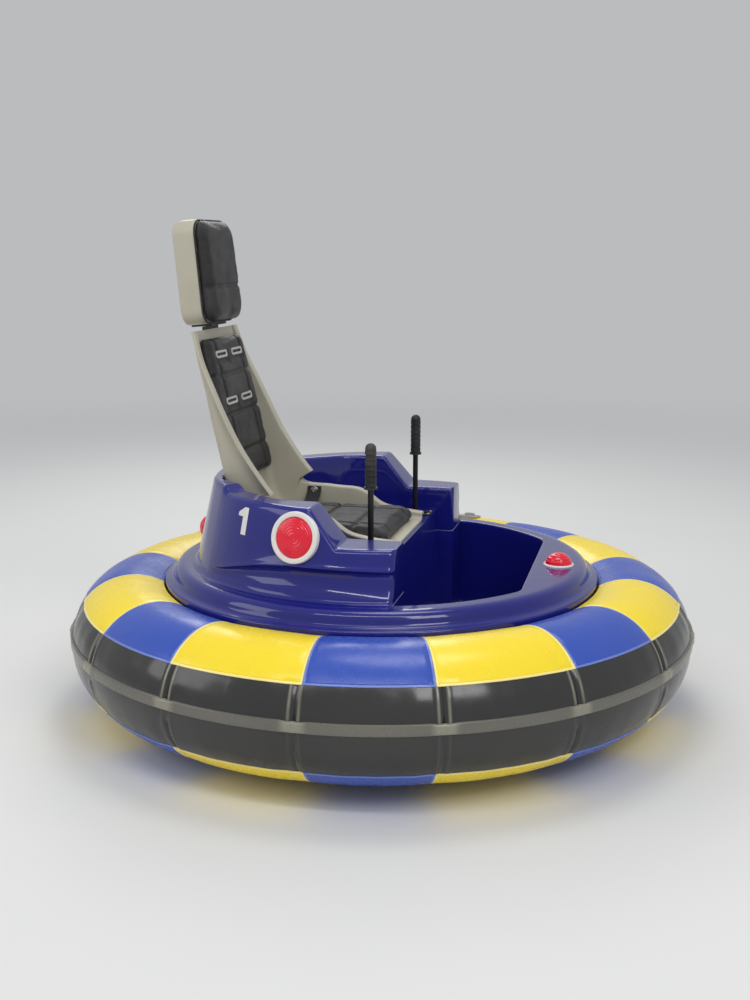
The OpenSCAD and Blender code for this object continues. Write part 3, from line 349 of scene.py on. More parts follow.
strip_vinyl = inflated_vinyl("strip_vinyl", STRIP_VINYL, 0.24, 0.2)
weld = seam_offset(strip_vinyl)
scuffed = strip_vinyl.noise(3.0, 6.0)
plain = strip_vinyl.mix(scuffed, tint(STRIP_VINYL, 0.7), tint(STRIP_VINYL, 1.35))
# Painted highlight: a pale patch on each taped bulge of the strip stands in for the light that the bulge
# catches.
painted_bulge_highlight = (1 - weld.step(0.014, 0.040)) * 0.45
strip_vinyl.feed("Base Color", strip_vinyl.mix(painted_bulge_highlight, plain, PAINTED_HIGHLIGHT))


def panel_edge(finish, first, sweep):
    """Metres from the nearest edge of a panel, by the azimuth of the first panel's middle."""
    x, y, z = finish.axes()
    from_middle = ((y.arctan2(x) + (SEAM_STEP - first)) % (2 * SEAM_STEP) - SEAM_STEP).size()
    beside = (sweep / 2 - from_middle) * (RING_R + TUBE_R)
    turn = (z - TUBE_Z).size().arctan2((x * x + y * y) ** 0.5 - RING_R)
    return beside.least((turn - PANEL_START) * TUBE_R)


def panel_vinyl(name, colour, edge_colour, first, sweep):
    """Coloured panel vinyl with a paler line where its edge is welded down."""
    finish = inflated_vinyl(name, colour, 0.24, 0.05)
    line = 1 - panel_edge(finish, first, sweep).step(0.0045, 0.0075)
    grime = finish.noise(22.0, 8.0, 0.65).step(0.55, 0.85) * 0.16
    clean = finish.mix(line * 0.7, colour, edge_colour)
    finish.feed("Base Color", finish.mix(grime, clean, tint(colour, 0.55)))
    return finish


panel_yellow = panel_vinyl("panel_yellow", YELLOW_VINYL, (0.97, 0.88, 0.42), -SEAM_STEP / 2, YELLOW_SWEEP)
panel_blue = panel_vinyl("panel_blue", BLUE_VINYL, (0.20, 0.28, 0.66), SEAM_STEP / 2, BLUE_SWEEP)

# %% Gelcoat of the body
BODY_BLUE = (0.0085, 0.0105, 0.185)


def gelcoat(name, colour):
    """Glass-fibre gelcoat: a deep colour under a clear coat, with faint polish marks."""
    finish = Finish(name, colour, 0.32, Specular_IOR_Level=0.12, Coat_Weight=0.9, Coat_Roughness=0.045)
    peel = finish.noise(190.0, 2.0)
    slow = finish.noise(7.0, 2.0)
    swirls = finish.noise(60.0, 8.0, 0.75).step(0.52, 0.8)
    finish.bump(peel * 0.02 + slow * 0.5, 0.003)
    finish.feed("Roughness", swirls * 0.18 + 0.28)
    tone = finish.mix(finish.noise(3.0, 4.0), tint(colour, 0.85), tint(colour, 1.15))
    finish.feed("Base Color", finish.mix(swirls * 0.05, tone, (0.16, 0.18, 0.38)))
    return finish


body_shell = gelcoat("body_shell", BODY_BLUE)


# %% Moulded plastics, rubber and steel
def moulded(name, colour, roughness, grain, dust):
    """Moulded plastic or rubber with a fine grain and a slightly cloudy tone."""
    finish = Finish(name, colour, roughness)
    cloud = finish.noise(11.0, 5.0, 0.6)
    finish.bump(finish.noise(grain, 2.0), 0.00025)
    finish.feed("Roughness", cloud.step(0.3, 0.8) * 0.14 + roughness)
    add_dust(finish, finish.mix(cloud, tint(colour, 0.9), tint(colour, 1.08)), dust)
    return finish


def metal(name, colour, roughness, metallic, dust):
    """Painted or plated steel with fine scratches."""
    finish = Finish(name, colour, roughness, Metallic=metallic)
    scratches = finish.noise(40.0, 8.0, 0.7, finish.stretch((1.0, 1.0, 14.0)))
    finish.feed("Roughness", scratches.step(0.35, 0.75) * 0.22 + roughness)
    finish.bump(scratches, 0.0002)
    add_dust(finish, finish.mix(scratches, tint(colour, 0.85), tint(colour, 1.12)), dust)
    return finish


def upholstery(name, colour):
    """Stuffed vinyl with the pebbled grain of imitation leather."""
    finish = Finish(name, colour, 0.42, Specular_IOR_Level=0.45)
    pebble = finish.cells(420.0).step(0.0, 0.16)
    fold = finish.noise(30.0, 4.0)
    finish.bump(pebble * 0.35 + fold * 0.5, 0.0009)
    finish.feed("Roughness", finish.noise(26.0, 6.0, 0.7).step(0.3, 0.8) * 0.2 + 0.34)
    add_dust(finish, colour, 0.1)
    return finish


def woven(name, colour):
    """Webbing: ribs across the strap and a thread pattern along it."""
    finish = Finish(name, colour, 0.72)
    x, y, _ = finish.axes()
    ribs = (y * (2 * pi / 0.0022)).sine() * (x * (2 * pi / 0.0016)).sine()
    finish.bump(ribs, 0.0004)
    finish.feed("Base Color", finish.mix(ribs.step(-1.0, 1.0), tint(colour, 0.6), tint(colour, 1.5)))
    return finish


def glowing(name, colour):
    """The clear red plastic of a lit lamp."""
    finish = Finish(name, colour, 0.12, Coat_Weight=0.35, Coat_Roughness=0.04, Emission_Strength=0.35)
    glow = finish.mix(finish.noise(55.0, 3.0), tint(colour, 0.8), tint(colour, 1.15))
    finish.feed("Base Color", glow)
    finish.feed("Emission Color", glow)
    finish.bump(finish.noise(160.0, 2.0), 0.0003)
    return finish


# %% The finish of each slot
special = [
    tube_vinyl, strip_vinyl, panel_yellow, panel_blue, body_shell,
    upholstery("seat_vinyl", (0.014, 0.014, 0.015)),
    woven("webbing", (0.02, 0.02, 0.022)),
    glowing("lamp_red", (0.56, 0.004, 0.022)),
]
mouldings = {
    # colour, roughness, scale of the grain, dust
    "valve_plastic": ((0.36, 0.36, 0.34), 0.45, 650.0, 0.12),
    "seat_moulding": ((0.46, 0.435, 0.345), 0.36, 650.0, 0.12),
    "guide_plastic": ((0.46, 0.45, 0.41), 0.4, 650.0, 0.12),
    "buckle_plastic": ((0.012, 0.012, 0.013), 0.3, 650.0, 0.12),
    "lamp_white": ((0.78, 0.77, 0.74), 0.25, 900.0, 0.06),
    "floor_rubber": ((0.022, 0.022, 0.022), 0.62, 500.0, 0.12),
    "grip_rubber": ((0.014, 0.014, 0.014), 0.5, 700.0, 0.14),
    "battery_case": ((0.10, 0.105, 0.115), 0.5, 700.0, 0.2),
    "tyre_rubber": ((0.02, 0.02, 0.02), 0.68, 420.0, 0.35),
    "caster_rubber": ((0.05, 0.05, 0.052), 0.6, 500.0, 0.3),
}
metals = {
    # colour, roughness, metallic, dust
    "frame_steel": ((0.028, 0.028, 0.030), 0.42, 0.3, 0.25),
    "lever_steel": ((0.016, 0.016, 0.017), 0.32, 0.6, 0.1),
    "motor_paint": ((0.14, 0.15, 0.16), 0.4, 0.2, 0.25),
    "hub_metal": ((0.42, 0.42, 0.43), 0.34, 0.9, 0.2),
    "zinc_steel": ((0.50, 0.50, 0.48), 0.3, 0.95, 0.15),
}
finishes = {finish.name: finish for finish in special}
finishes.update((name, moulded(name, *look)) for name, look in mouldings.items())
finishes.update((name, metal(name, *look)) for name, look in metals.items())

slot_of = {part["node"]: part["material_slot"] for part in frame["record"]["subparts"]}
for node_name, node in frame["nodes"].items():
    for slot in node.material_slots:
        slot.material = finishes[slot_of[node_name]].material
print(len(finishes), "finishes on", len(frame["nodes"]), "CAD nodes")


# %% [markdown]
# ## Meshes from grids
# Most forms here are a grid of points that wraps round the tube, along the body or up the seat.
# `make_piece` turns points and faces into a finished object, turns its faces outwards and lets it
# ride on a body of the frame.

# %% Mesh helpers
def grid_faces(rows, columns, round_rows=False, round_columns=False, start=0):
    """Quads of a grid of points; a round direction joins its last line to its first."""
    i = np.arange(rows if round_rows else rows - 1)
    j = np.arange(columns if round_columns else columns - 1)
    i, j = np.meshgrid(i, j, indexing="ij")
    i2, j2 = (i + 1) % rows, (j + 1) % columns
    quads = np.stack([i * columns + j, i2 * columns + j, i2 * columns + j2, i * columns + j2], -1)
    return (quads.reshape(-1, 4) + start).tolist()


def tube_faces(count, around):
    """Faces of a stack of closed rings, with a cap at each end."""
    last = (count - 1) * around
    caps = [list(range(around)), list(range(last, last + around))[::-1]]
    return grid_faces(count, around, round_columns=True) + caps


def outward(points, faces):
    """Closed faces, all turned round where the sign of their volume says that they point inwards."""
    volume = 0.0
    for face in faces:
        for a, b in zip(face[1:-1], face[2:]):
            volume += np.dot(points[face[0]], np.cross(points[a], points[b]))
    return [face[::-1] for face in faces] if volume < 0 else faces


def dress(name, mesh, slot, body="car", sharp=None):
    """A smooth object from a mesh, in a finish and riding on a body of the frame."""
    if not mesh.materials:
        mesh.materials.append(finishes[slot].material)
    mesh.shade_smooth()
    if sharp:
        mesh.set_sharp_from_angle(angle=radians(sharp))
    piece = add_object(name, mesh)
    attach(piece, body)
    print(name, len(mesh.polygons), "faces")
    return piece


def make_piece(name, points, faces, slot, sharp=32.0):
    """A finished object from points and faces, with its faces turned outwards."""
    points = np.asarray(points, float).reshape(-1, 3)
    mesh = plain_mesh(name, points, outward(points, faces))
    mesh.validate()
    return dress(name, mesh, slot, sharp=sharp)


def stack_piece(name, rings, slot, sharp=32.0):
    """A finished object from a stack of rings of points, closed at both ends."""
    return make_piece(name, rings, tube_faces(*np.shape(rings)[:2]), slot, sharp)


def smooth_step(t):
    """0 below 0, 1 above 1, and a smooth rise between them."""
    t = np.clip(t, 0.0, 1.0)
    return t * t * (3 - 2 * t)


# %% [markdown]
# ## The inflated tube
# The skin is welded from sixteen gores. Air pushes each gore out and the weld between two gores stays
# a little short, so every seam lies in a shallow valley, with a pinched double ridge just below the
# coloured panels. One formula gives the skin's radius at any angle, and the skin and the panels both
# use it, so they fit each other.

# %% The tube's radius as a formula
VALLEY = 0.0026
PINCH = 0.0046
RIDGE_AWAY = 0.0135
STRIP_EDGE = asin(STRIP_H / 2 / TUBE_R)


def from_seam(azimuth):
    """Metres from the nearest seam, measured round the tube's outside."""
    return seam_angle(azimuth) * (RING_R + TUBE_R)


def skin_radius(azimuth, angle):
    """Radius of the tube's section at an angle round the car and an angle round the section."""
    away = from_seam(azimuth)
    side = np.abs(angle)
    valley = VALLEY * np.exp(-((away / 0.055) ** 2)) * (0.55 + 0.45 * np.cos(side / 2) ** 2)
    near_panel = smooth_step((side - STRIP_EDGE) / 0.06) * (1 - 0.8 * smooth_step((side - 0.64) / 0.14))
    near_panel *= 0.75 + 0.6 * np.exp(-(((side - STRIP_EDGE - 0.10) / 0.07) ** 2))
    near_panel = np.where(angle < 0, 0.6 * near_panel, near_panel)
    groove = PINCH * np.exp(-((away / 0.0042) ** 2)) * near_panel
    ridge = 0.62 * PINCH * np.exp(-(((np.abs(away) - RIDGE_AWAY) / 0.0062) ** 2)) * near_panel
    pucker = 0.0007 * np.sin(away / 0.015) * np.exp(-(away / 0.16) ** 2 - ((side - 0.5) / 0.3) ** 2)
    return TUBE_R - 0.0016 - valley - groove + ridge + pucker


def on_skin(azimuth, angle, lift=0.0):
    """Points on the skin, or so many metres above it."""
    radius = skin_radius(azimuth, angle) + lift
    out = RING_R + radius * np.cos(angle)
    return np.stack([out * np.cos(azimuth), out * np.sin(azimuth), TUBE_Z + radius * np.sin(angle)], -1)


# %% The skin
SKIN_AROUND = 1024
SKIN_SECTION = 88
azimuth, angle = np.meshgrid(
    np.arange(SKIN_AROUND) * 2 * pi / SKIN_AROUND,
    np.arange(SKIN_SECTION) * 2 * pi / SKIN_SECTION - pi,
    indexing="ij",
)
tube_skin = make_piece(
    "tube_skin", on_skin(azimuth, angle), grid_faces(SKIN_AROUND, SKIN_SECTION, True, True), "tube_vinyl"
)
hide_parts("tube")


# %% [markdown]
# ## The coloured panels
# Sixteen panels of heavier vinyl lie on top of the tube and sixteen more below, yellow and blue in
# turn. Each is a slab of 2 mm whose edge is welded down, which leaves a fine groove just inside it.
# A slab is a grid with extra lines near its edges, where its height changes.

# %% Panels
EDGE_LINES = [0.0, 0.0003, 0.0012, 0.0055, 0.0068, 0.0082]
EDGE_LIFT = [-0.0004, 0.0014, 0.0020, 0.0020, 0.0012, 0.0020]


def edge_knots(start, end, metres_per_unit, count):
    """Positions from start to end with the extra lines near both, and the lift at each."""
    near = np.array(EDGE_LINES) / metres_per_unit
    middle = np.linspace(start + near[-1], end - near[-1], count)[1:-1]
    places = np.concatenate([start + near, middle, end - near[::-1]])
    lift = np.concatenate([EDGE_LIFT, np.full(len(middle), EDGE_LIFT[-1]), EDGE_LIFT[::-1]])
    return places, lift


def closed_sheet(top, under):
    """Points and faces of a closed sheet whose two sides are grids of points."""
    rows, columns = top.shape[:2]
    count = rows * columns
    index = np.arange(count).reshape(rows, columns)
    rim = np.concatenate([index[:, 0], index[-1, 1:], index[-2::-1, -1], index[0, -2:0:-1]]).tolist()
    faces = grid_faces(rows, columns)
    faces += [face[::-1] for face in grid_faces(rows, columns, start=count)]
    faces += [[b, a, a + count, b + count] for a, b in zip(rim, rim[1:] + rim[:1])]
    return np.concatenate([top.reshape(-1, 3), under.reshape(-1, 3)]), faces


def slab(middle, sweep, low, high, around=22, across=18):
    """Points and faces of one closed panel, from a middle azimuth and two section angles."""
    az, az_lift = edge_knots(middle - sweep / 2, middle + sweep / 2, RING_R + TUBE_R, around)
    sec, sec_lift = edge_knots(low, high, TUBE_R, across)
    azimuth, angle = np.meshgrid(az, sec, indexing="ij")
    lift = np.minimum(*np.meshgrid(az_lift, sec_lift, indexing="ij"))
    return closed_sheet(on_skin(azimuth, angle, lift), on_skin(azimuth, angle, -0.0008))


def join_parts(parts):
    """One list of points and one of faces from several."""
    points, faces, start = [], [], 0
    for part_points, part_faces in parts:
        points.append(part_points)
        faces += [[corner + start for corner in face] for face in part_faces]
        start += len(part_points)
    return np.concatenate(points), faces


LIP_R = RING_R - 0.094
PANEL_END = acos((LIP_R - RING_R) / (TUBE_R + 0.002)) - radians(1.0)
for colour, first, sweep in (("yellow", -0.5, YELLOW_SWEEP), ("blue", 0.5, BLUE_SWEEP)):
    slabs = []
    for place in range(0, SEAM_COUNT, 2):
        middle = (first + place) * SEAM_STEP
        slabs.append(slab(middle, sweep, PANEL_START, PANEL_END))
        slabs.append(slab(middle, sweep, -PANEL_END, -PANEL_START))
    panels = make_piece("panels_" + colour, *join_parts(slabs), "panel_" + colour)
    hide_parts("tube_panels_" + colour)

# %% [markdown]
# ## The rub strip
# A flat strip of dark vinyl runs round the widest line; its colour is painted paler to stand for the
# light on its face. It is taped at every seam, and there it bulges a little, with a pale painted
# highlight on each bulge for the light that it catches.

# %% Rub strip
STRIP_AROUND = 768
strip_section = [
    (-0.004, -0.5), (0.55, -0.5), (0.80, -0.47), (0.95, -0.40), (1.0, -0.30),
    (1.0, 0.30), (0.95, 0.40), (0.80, 0.47), (0.55, 0.5), (-0.004, 0.5),
]
azimuth = np.arange(STRIP_AROUND) * 2 * pi / STRIP_AROUND
away = from_seam(azimuth)
bulge = np.exp(-((away / 0.030) ** 4)) * (1 - 0.55 * np.exp(-((away / 0.005) ** 2)))
strip_rows = []
for out, up in strip_section:
    height = STRIP_Z + up * STRIP_H * (1 - 0.16 * bulge)
    tall = height - TUBE_Z
    skin = RING_R + np.sqrt(TUBE_R**2 - tall**2)
    face = RING_R + TUBE_R + STRIP_OUT * (0.40 + 0.60 * bulge) - 0.0004
    reach = skin - 0.004 + (face - skin + 0.004) * max(out, 0.0)
    strip_rows.append(np.stack([reach * np.cos(azimuth), reach * np.sin(azimuth), height], -1))
strip = make_piece(
    "rub_strip_moulding",
    np.stack(strip_rows, 1),
    grid_faces(STRIP_AROUND, len(strip_section), True, True),
    "strip_vinyl",
)
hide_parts("rub_strip")

# %% [markdown]
# ## The moulded body
# Two side pods and the rear cowl are one glass-fibre moulding round the seat. The whole moulding is a
# cross-section that travels: it starts at the right pod's front, climbs the slope, turns round behind
# the seat and comes back on the left. At each station the section is drawn straight out from the
# seat bay to a wall that leans in towards the top.

# %% Sizes of the body, from the frame
deck_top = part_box("deck")[1].z
POD_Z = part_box("pod_left")[1].z
SHOULDER_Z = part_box("rear_cowl")[1].z
SHELF_Z = deck_top + 0.136
POD_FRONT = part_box("pod_left")[1].x
LEAN = 0.229
FOOT_R = LIP_R - 0.092
BAY_HALF = FOOT_R - 0.169
BAY_REAR = FOOT_R - 0.111
BAY_REAR_HALF = 0.190
BAY_TAPER = 0.190
COWL_ARM = 0.115
EDGE_R = 0.014
INNER_R = 0.012
COVE_R = 0.014
SCOOP_DEEP = 0.017
BROW_OUT = 0.0044
BROW_REACH = 0.0065
BAY_TURN = atan((BAY_HALF - BAY_REAR_HALF) / (BAY_REAR - BAY_TAPER))
crease_line = [(60, 80), (73, 82), (90, 86), (103, 85), (114, 76), (124, 58), (134, 34), (180, 34)]
scoop_line = [(60, 12), (180, 12)]
scoop_share = [(58, 0.2), (66, 0.35), (78, 0.7), (90, 1), (108, 1), (120, 0.8), (129, 0.4), (136, 0)]


def look_up(value, table, blur=3.0):
    """A table's value, averaged over a few degrees so that its corners are rounded."""
    keys, values = zip(*table)
    spots = value + np.linspace(-blur, blur, 7)
    return float(np.mean(np.interp(spots, keys, values)))


def corner(point, first, last, radius, steps):
    """A rounded corner of a path: places and the direction that they face."""
    share = 1 + cos(last - first)
    middle = [point[k] - radius * (f(first) + f(last)) / share for k, f in enumerate((cos, sin))]
    turns = np.linspace(first, last, steps + 1)
    return [(middle[0] + radius * cos(t), middle[1] + radius * sin(t), t) for t in turns]


def reach_out(x, y, facing, radius):
    """Distance from a point along a direction out to a circle round the car's middle."""
    along = x * cos(facing) + y * sin(facing)
    return np.sqrt(along**2 - x * x - y * y + np.asarray(radius) ** 2) - along


# %% One section of the body
def body_section(x, y, facing, top, drawn):
    """Points of a section, from the outer wall's foot over the top to the inner wall's foot."""
    foot = float(reach_out(x, y, facing, FOOT_R))
    spot = (x + foot * cos(facing), y + foot * sin(facing))
    azimuth = abs(degrees(atan2(spot[1], spot[0])))
    crease = look_up(azimuth, crease_line) / 1000
    scoop = look_up(azimuth, scoop_line) / 1000
    deep = SCOOP_DEEP * look_up(azimuth, scoop_share)
    wide = float(reach_out(x, y, facing, FOOT_R - (top - deck_top) * LEAN)) - 2 * drawn
    r = min(EDGE_R, 0.4 * wide)
    ri = min(INNER_R, 0.4 * wide)
    cove = [(COVE_R * (1 - sin(b)), COVE_R * (1 - cos(b))) for b in np.linspace(0, pi / 2, 6)]
    share = np.linspace(0, 1, 22)
    dip = np.where(share < 0.5, 1 - (1 - share / 0.5) ** 2, 1 - ((share - 0.5) / 0.5) ** 3)
    hollow = [(-deep * d, scoop + (crease - scoop) * t) for d, t in zip(dip, share)]
    brow = crease + np.array([0.0015, 0.003, 0.005, 0.0075, 0.0105, 0.014])
    upright = [(0.0, z) for z in [*brow, *np.linspace(brow[-1], top - deck_top - r, 6)[1:-1]]]
    high = top - deck_top
    outer = [(-r + r * cos(b), high - r + r * sin(b)) for b in np.linspace(0, pi / 2, 9)]
    wall = np.array(cove + hollow + upright + outer)
    from_brow = (wall[:, 1] - crease - 0.003) / BROW_REACH
    wall[:, 0] += BROW_OUT * deep / SCOOP_DEEP * np.exp(-(from_brow**2))
    reach = reach_out(x, y, facing, FOOT_R - wall[:, 1] * LEAN) - drawn + wall[:, 0]
    inner = [(ri - ri * cos(b), high - ri + ri * sin(b)) for b in np.linspace(pi / 2, 0, 8)]
    inner += [(0.0, z) for z in np.linspace(high - ri, 0.0, 6)[1:]]
    inner = np.array(inner)
    top_line = np.linspace((reach[-1], high), (drawn + inner[0, 0], high), 6)[1:-1]
    flat = np.concatenate([np.stack([reach, wall[:, 1]], -1), top_line, inner + (drawn, 0)])
    out = np.array([cos(facing), sin(facing)])
    return [(x + d * out[0], y + d * out[1], deck_top + 0.0003 + z) for d, z in flat]


# %% Stations along the body
POD_HIGH_X = -0.080
POD_LOW_X = -0.004
RISE_RUN = 0.030
slope = atan((POD_Z - SHELF_Z) / (POD_LOW_X - POD_HIGH_X))
side = pi / 2


def taper_station(ahead, top):
    x = ahead - BAY_REAR
    return (x, BAY_HALF + (x + BAY_TAPER) * tan(BAY_TURN), side + BAY_TURN, top, 0.0)


left = []
for b in np.linspace(pi / 2, 0, 9):
    left.append((POD_FRONT - EDGE_R + EDGE_R * sin(b), BAY_HALF, side, SHELF_Z, EDGE_R * (1 - cos(b))))
left += [(x, BAY_HALF, side, SHELF_Z, 0.0) for x in np.linspace(POD_FRONT - EDGE_R, 0.016, 9)[1:]]
profile = corner((POD_LOW_X, SHELF_Z), side, side - slope, -0.016, 8)
profile += corner((POD_HIGH_X, POD_Z), side - slope, side, 0.022, 8)
left += [(x, BAY_HALF, side, z, 0.0) for x, z, _ in profile]
side_corner = corner((-BAY_TAPER, BAY_HALF), side, side + BAY_TURN, 0.120, 12)
left += [(x, BAY_HALF, side, POD_Z, 0.0) for x in np.linspace(profile[-1][0], side_corner[0][0], 5)[1:-1]]
left += [(x, y, facing, POD_Z, 0.0) for x, y, facing in side_corner]
left += [taper_station(a, POD_Z) for a in np.linspace(0.20, COWL_ARM, 4)[1:]]
for t in np.linspace(0, 1, 9)[1:]:
    left.append(taper_station(COWL_ARM - t * RISE_RUN, POD_Z + (SHOULDER_Z - POD_Z) * float(smooth_step(t))))
rear_corner = corner((-BAY_REAR, BAY_REAR_HALF), side + BAY_TURN, pi, 0.080, 14)
left += [(x, y, facing, SHOULDER_Z, 0.0) for x, y, facing in rear_corner]
left += [(-BAY_REAR, t * BAY_REAR_HALF, pi, SHOULDER_Z, 0.0) for t in (0.5, 0.34, 0.17)]
middle_station = [(-BAY_REAR, 0.0, pi, SHOULDER_Z, 0.0)]
right = [(x, -y, 2 * pi - facing, top, drawn) for x, y, facing, top, drawn in left[::-1]]

# %% The body itself
sections = [body_section(*station) for station in left + middle_station + right]
upper_body = stack_piece("upper_body", sections, "body_shell", 40.0)
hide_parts("pod_left", "pod_right", "rear_cowl")

# %% [markdown]
# ## The bucket seat
# The seat is one light plastic shell: a back between two wings that deepen towards the hips, a curved
# hip, and a flat pan whose sides fall away to the front. The CAD model's few sections are joined here
# by a smooth curve, and the corners of each section are rounded.

# %% Sections of the seat
BACK_LEAN = radians(12.4)
BACK_H = 0.595
BACK_FOOT = 0.152
PAN_L = 0.506
SEAT_HALF = 0.200
WING_D = 0.126
SEAT_T = 0.007
FLANGE_W = 0.022
FLANGE_T = 0.008
RISER_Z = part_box("seat_riser")[1].z
FOOT_X = 0.011 - BAY_REAR
back_rows = [
    (1, 0.12, 0.8), (0.786, 0.2, 0.88), (0.634, 0.32, 0.92), (0.483, 0.44, 0.95), (0.2, 0.71, 0.95),
    (0, 1, 0.95),
]
pan_rows = [
    (0.03, 0.53, 25, 1.19, 0.96), (0.09, 0.18, 52, 1.11, 0.98), (0.2, 0, 84, 0.94, 1),
    (0.44, 0, 90, 0.79, 1), (0.64, 0, 90, 0.68, 1), (0.74, 0, 90, 0.4, 1), (0.85, 0, 90, 0.29, 1),
    (1, 0, 90, 0.22, 0.98),
]
seat_rows = []
for up, depth, half in back_rows:
    up *= BACK_H - BACK_FOOT
    place = (FOOT_X - up * tan(BACK_LEAN), RISER_Z + BACK_FOOT + up)
    seat_rows.append((*place, BACK_LEAN, depth * WING_D, half * SEAT_HALF))
for along, high, turn, depth, half in pan_rows:
    place = (FOOT_X + along * PAN_L, RISER_Z + high * BACK_FOOT)
    seat_rows.append((*place, radians(turn), depth * WING_D, half * SEAT_HALF))
seat_rows = np.array(seat_rows)


def run_along(rows):
    """How far along the seat each row lies."""
    return np.concatenate([[0], np.cumsum(np.linalg.norm(np.diff(rows[:, :2], axis=0), axis=1))])


def smooth_rows(rows, count):
    """Rows on a smooth curve through the given rows, evenly spaced along it."""
    length = run_along(rows)
    slopes = np.gradient(rows, length, axis=0)
    spots = np.linspace(0, length[-1], count)
    i = np.clip(np.searchsorted(length, spots, side="right") - 1, 0, len(length) - 2)
    h = length[i + 1] - length[i]
    t = ((spots - length[i]) / h)[:, None]
    h = h[:, None]
    return (
        (2 * t**3 - 3 * t**2 + 1) * rows[i] + (t**3 - 2 * t**2 + t) * h * slopes[i]
        + (-2 * t**3 + 3 * t**2) * rows[i + 1] + (t**3 - t**2) * h * slopes[i + 1]
    )


def in_section(row, across, inward):
    """A point of a seat section, from its place across the seat and its height above the shell."""
    x, z, turn = row[:3]
    return (x + inward * cos(turn), across, z + inward * sin(turn) + 0.0003)


# %% The seat shell
SEAT_CORNER = 0.034


def arc(middle, radius, first, last, steps):
    """Points on a circle's arc between two angles in degrees."""
    turns = np.radians(np.linspace(first, last, steps + 1))
    return [(middle[0] + radius * cos(t), middle[1] + radius * sin(t)) for t in turns]


def seat_outline(depth, half):
    """Outline of one section: outer face from the middle to a flange, and back along the inner face."""
    c = min(SEAT_CORNER, depth - FLANGE_T - 0.001)
    ci = max(c - SEAT_T, 0.002)
    roll = FLANGE_T / 2
    bend = 0.006
    right_half = [(0.0, 0.0), ((half - c) * 0.5, 0.0)]
    right_half += arc((half - c, c), c, -90, 0, 8)
    right_half += [(half, c + (depth - FLANGE_T - c) * t) for t in (0.35, 0.7)]
    right_half += arc((half + 0.003, depth - FLANGE_T - 0.003), 0.003, 180, 90, 3)
    right_half += arc((half + FLANGE_W - roll, depth - roll), roll, -90, 90, 6)
    right_half += arc((half - SEAT_T + bend, depth - bend), bend, 90, 180, 5)
    right_half += [(half - SEAT_T, SEAT_T + ci + (depth - bend - SEAT_T - ci) * t) for t in (0.7, 0.35)]
    right_half += arc((half - SEAT_T - ci, SEAT_T + ci), ci, 0, -90, 8)
    right_half += [((half - c) * 0.5, SEAT_T), (0.0, SEAT_T)]
    mirrored = [(-a, b) for a, b in right_half[-2:0:-1]]
    return right_half + mirrored


dense_rows = smooth_rows(seat_rows, 72)
shell = [[in_section(row, a, b) for a, b in seat_outline(row[3], row[4])] for row in dense_rows]
seat_piece = stack_piece("seat_bucket", shell, "seat_moulding", 45.0)
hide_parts("seat_shell")

# %% [markdown]
# ## Cushions
# A cushion is foam in a sewn cover: a crowned form whose sides pull in at its corners. Each one
# starts as a slightly thin slab between the wings. Cloth simulation blows it up, a cap keeps every
# point near its start, and whatever would sink into the shell is laid flat on it. Seams are pressed
# in afterwards, because the remesh would erase them.

# %% Blow a pad up with cloth
PAD_VOXEL = 0.0055
PAD_FRAMES = 20
PAD_PRESSURE = 4.0


def mesh_points(mesh):
    points = np.empty(len(mesh.vertices) * 3)
    mesh.vertices.foreach_get("co", points)
    return points.reshape(-1, 3)


def evaluated_mesh(thing):
    """A plain mesh of an object with its modifiers in effect."""
    view = bpy.context.evaluated_depsgraph_get()
    return bpy.data.meshes.new_from_object(thing.evaluated_get(view), depsgraph=view)


def apply_modifiers(thing):
    """Puts what an object's modifiers do into its mesh."""
    thing.data = evaluated_mesh(thing)
    thing.modifiers.clear()


def swell(name, rings, cap):
    """A pad's even mesh and its points after the cloth has swollen by at most cap metres."""
    rings = np.asarray(rings, float)
    points = rings.reshape(-1, 3)
    faces = outward(points, tube_faces(*rings.shape[:2]))
    pad = add_object(name + "_start", plain_mesh(name + "_start", points, faces))
    remesh = pad.modifiers.new("even", "REMESH")
    remesh.mode = "VOXEL"
    remesh.voxel_size = PAD_VOXEL
    apply_modifiers(pad)
    even = pad.data
    start = mesh_points(even)
    cloth = pad.modifiers.new("air", "CLOTH")
    cloth.settings.use_pressure = True
    cloth.settings.uniform_pressure_force = PAD_PRESSURE
    cloth.settings.effector_weights.gravity = 0.0
    cloth.settings.quality = 4
    cloth.point_cache.frame_start = 1
    cloth.point_cache.frame_end = PAD_FRAMES
    for frame_number in range(1, PAD_FRAMES + 1):
        bpy.context.scene.frame_set(frame_number)
    moved = mesh_points(evaluated_mesh(pad)) - start
    far = np.linalg.norm(moved, axis=1, keepdims=True)
    moved *= np.minimum(1.0, cap / np.maximum(far, 1e-9))
    bpy.context.scene.frame_set(1)
    bpy.data.objects.remove(pad)
    print(name, "swelled by up to", round(float(far.max()) * 1000, 1), "mm, capped at", cap * 1000)
    return even, start + moved


def finish_pad(name, mesh, points, node_name):
    """A padded piece from a mesh and its moved points, with one subdivision."""
    mesh.vertices.foreach_set("co", points.ravel())
    mesh.materials.clear()
    mesh.update()
    pad = dress(name, mesh, "seat_vinyl")
    soft = pad.modifiers.new("soft", "SUBSURF")
    soft.levels = soft.render_levels = 1
    apply_modifiers(pad)
    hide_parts(node_name)
    return pad


# %% Slabs that the seat cushions start from
PAD_GAP = 0.006
PAD_ROUND = 0.016
SEAM_WIDTH = 0.006


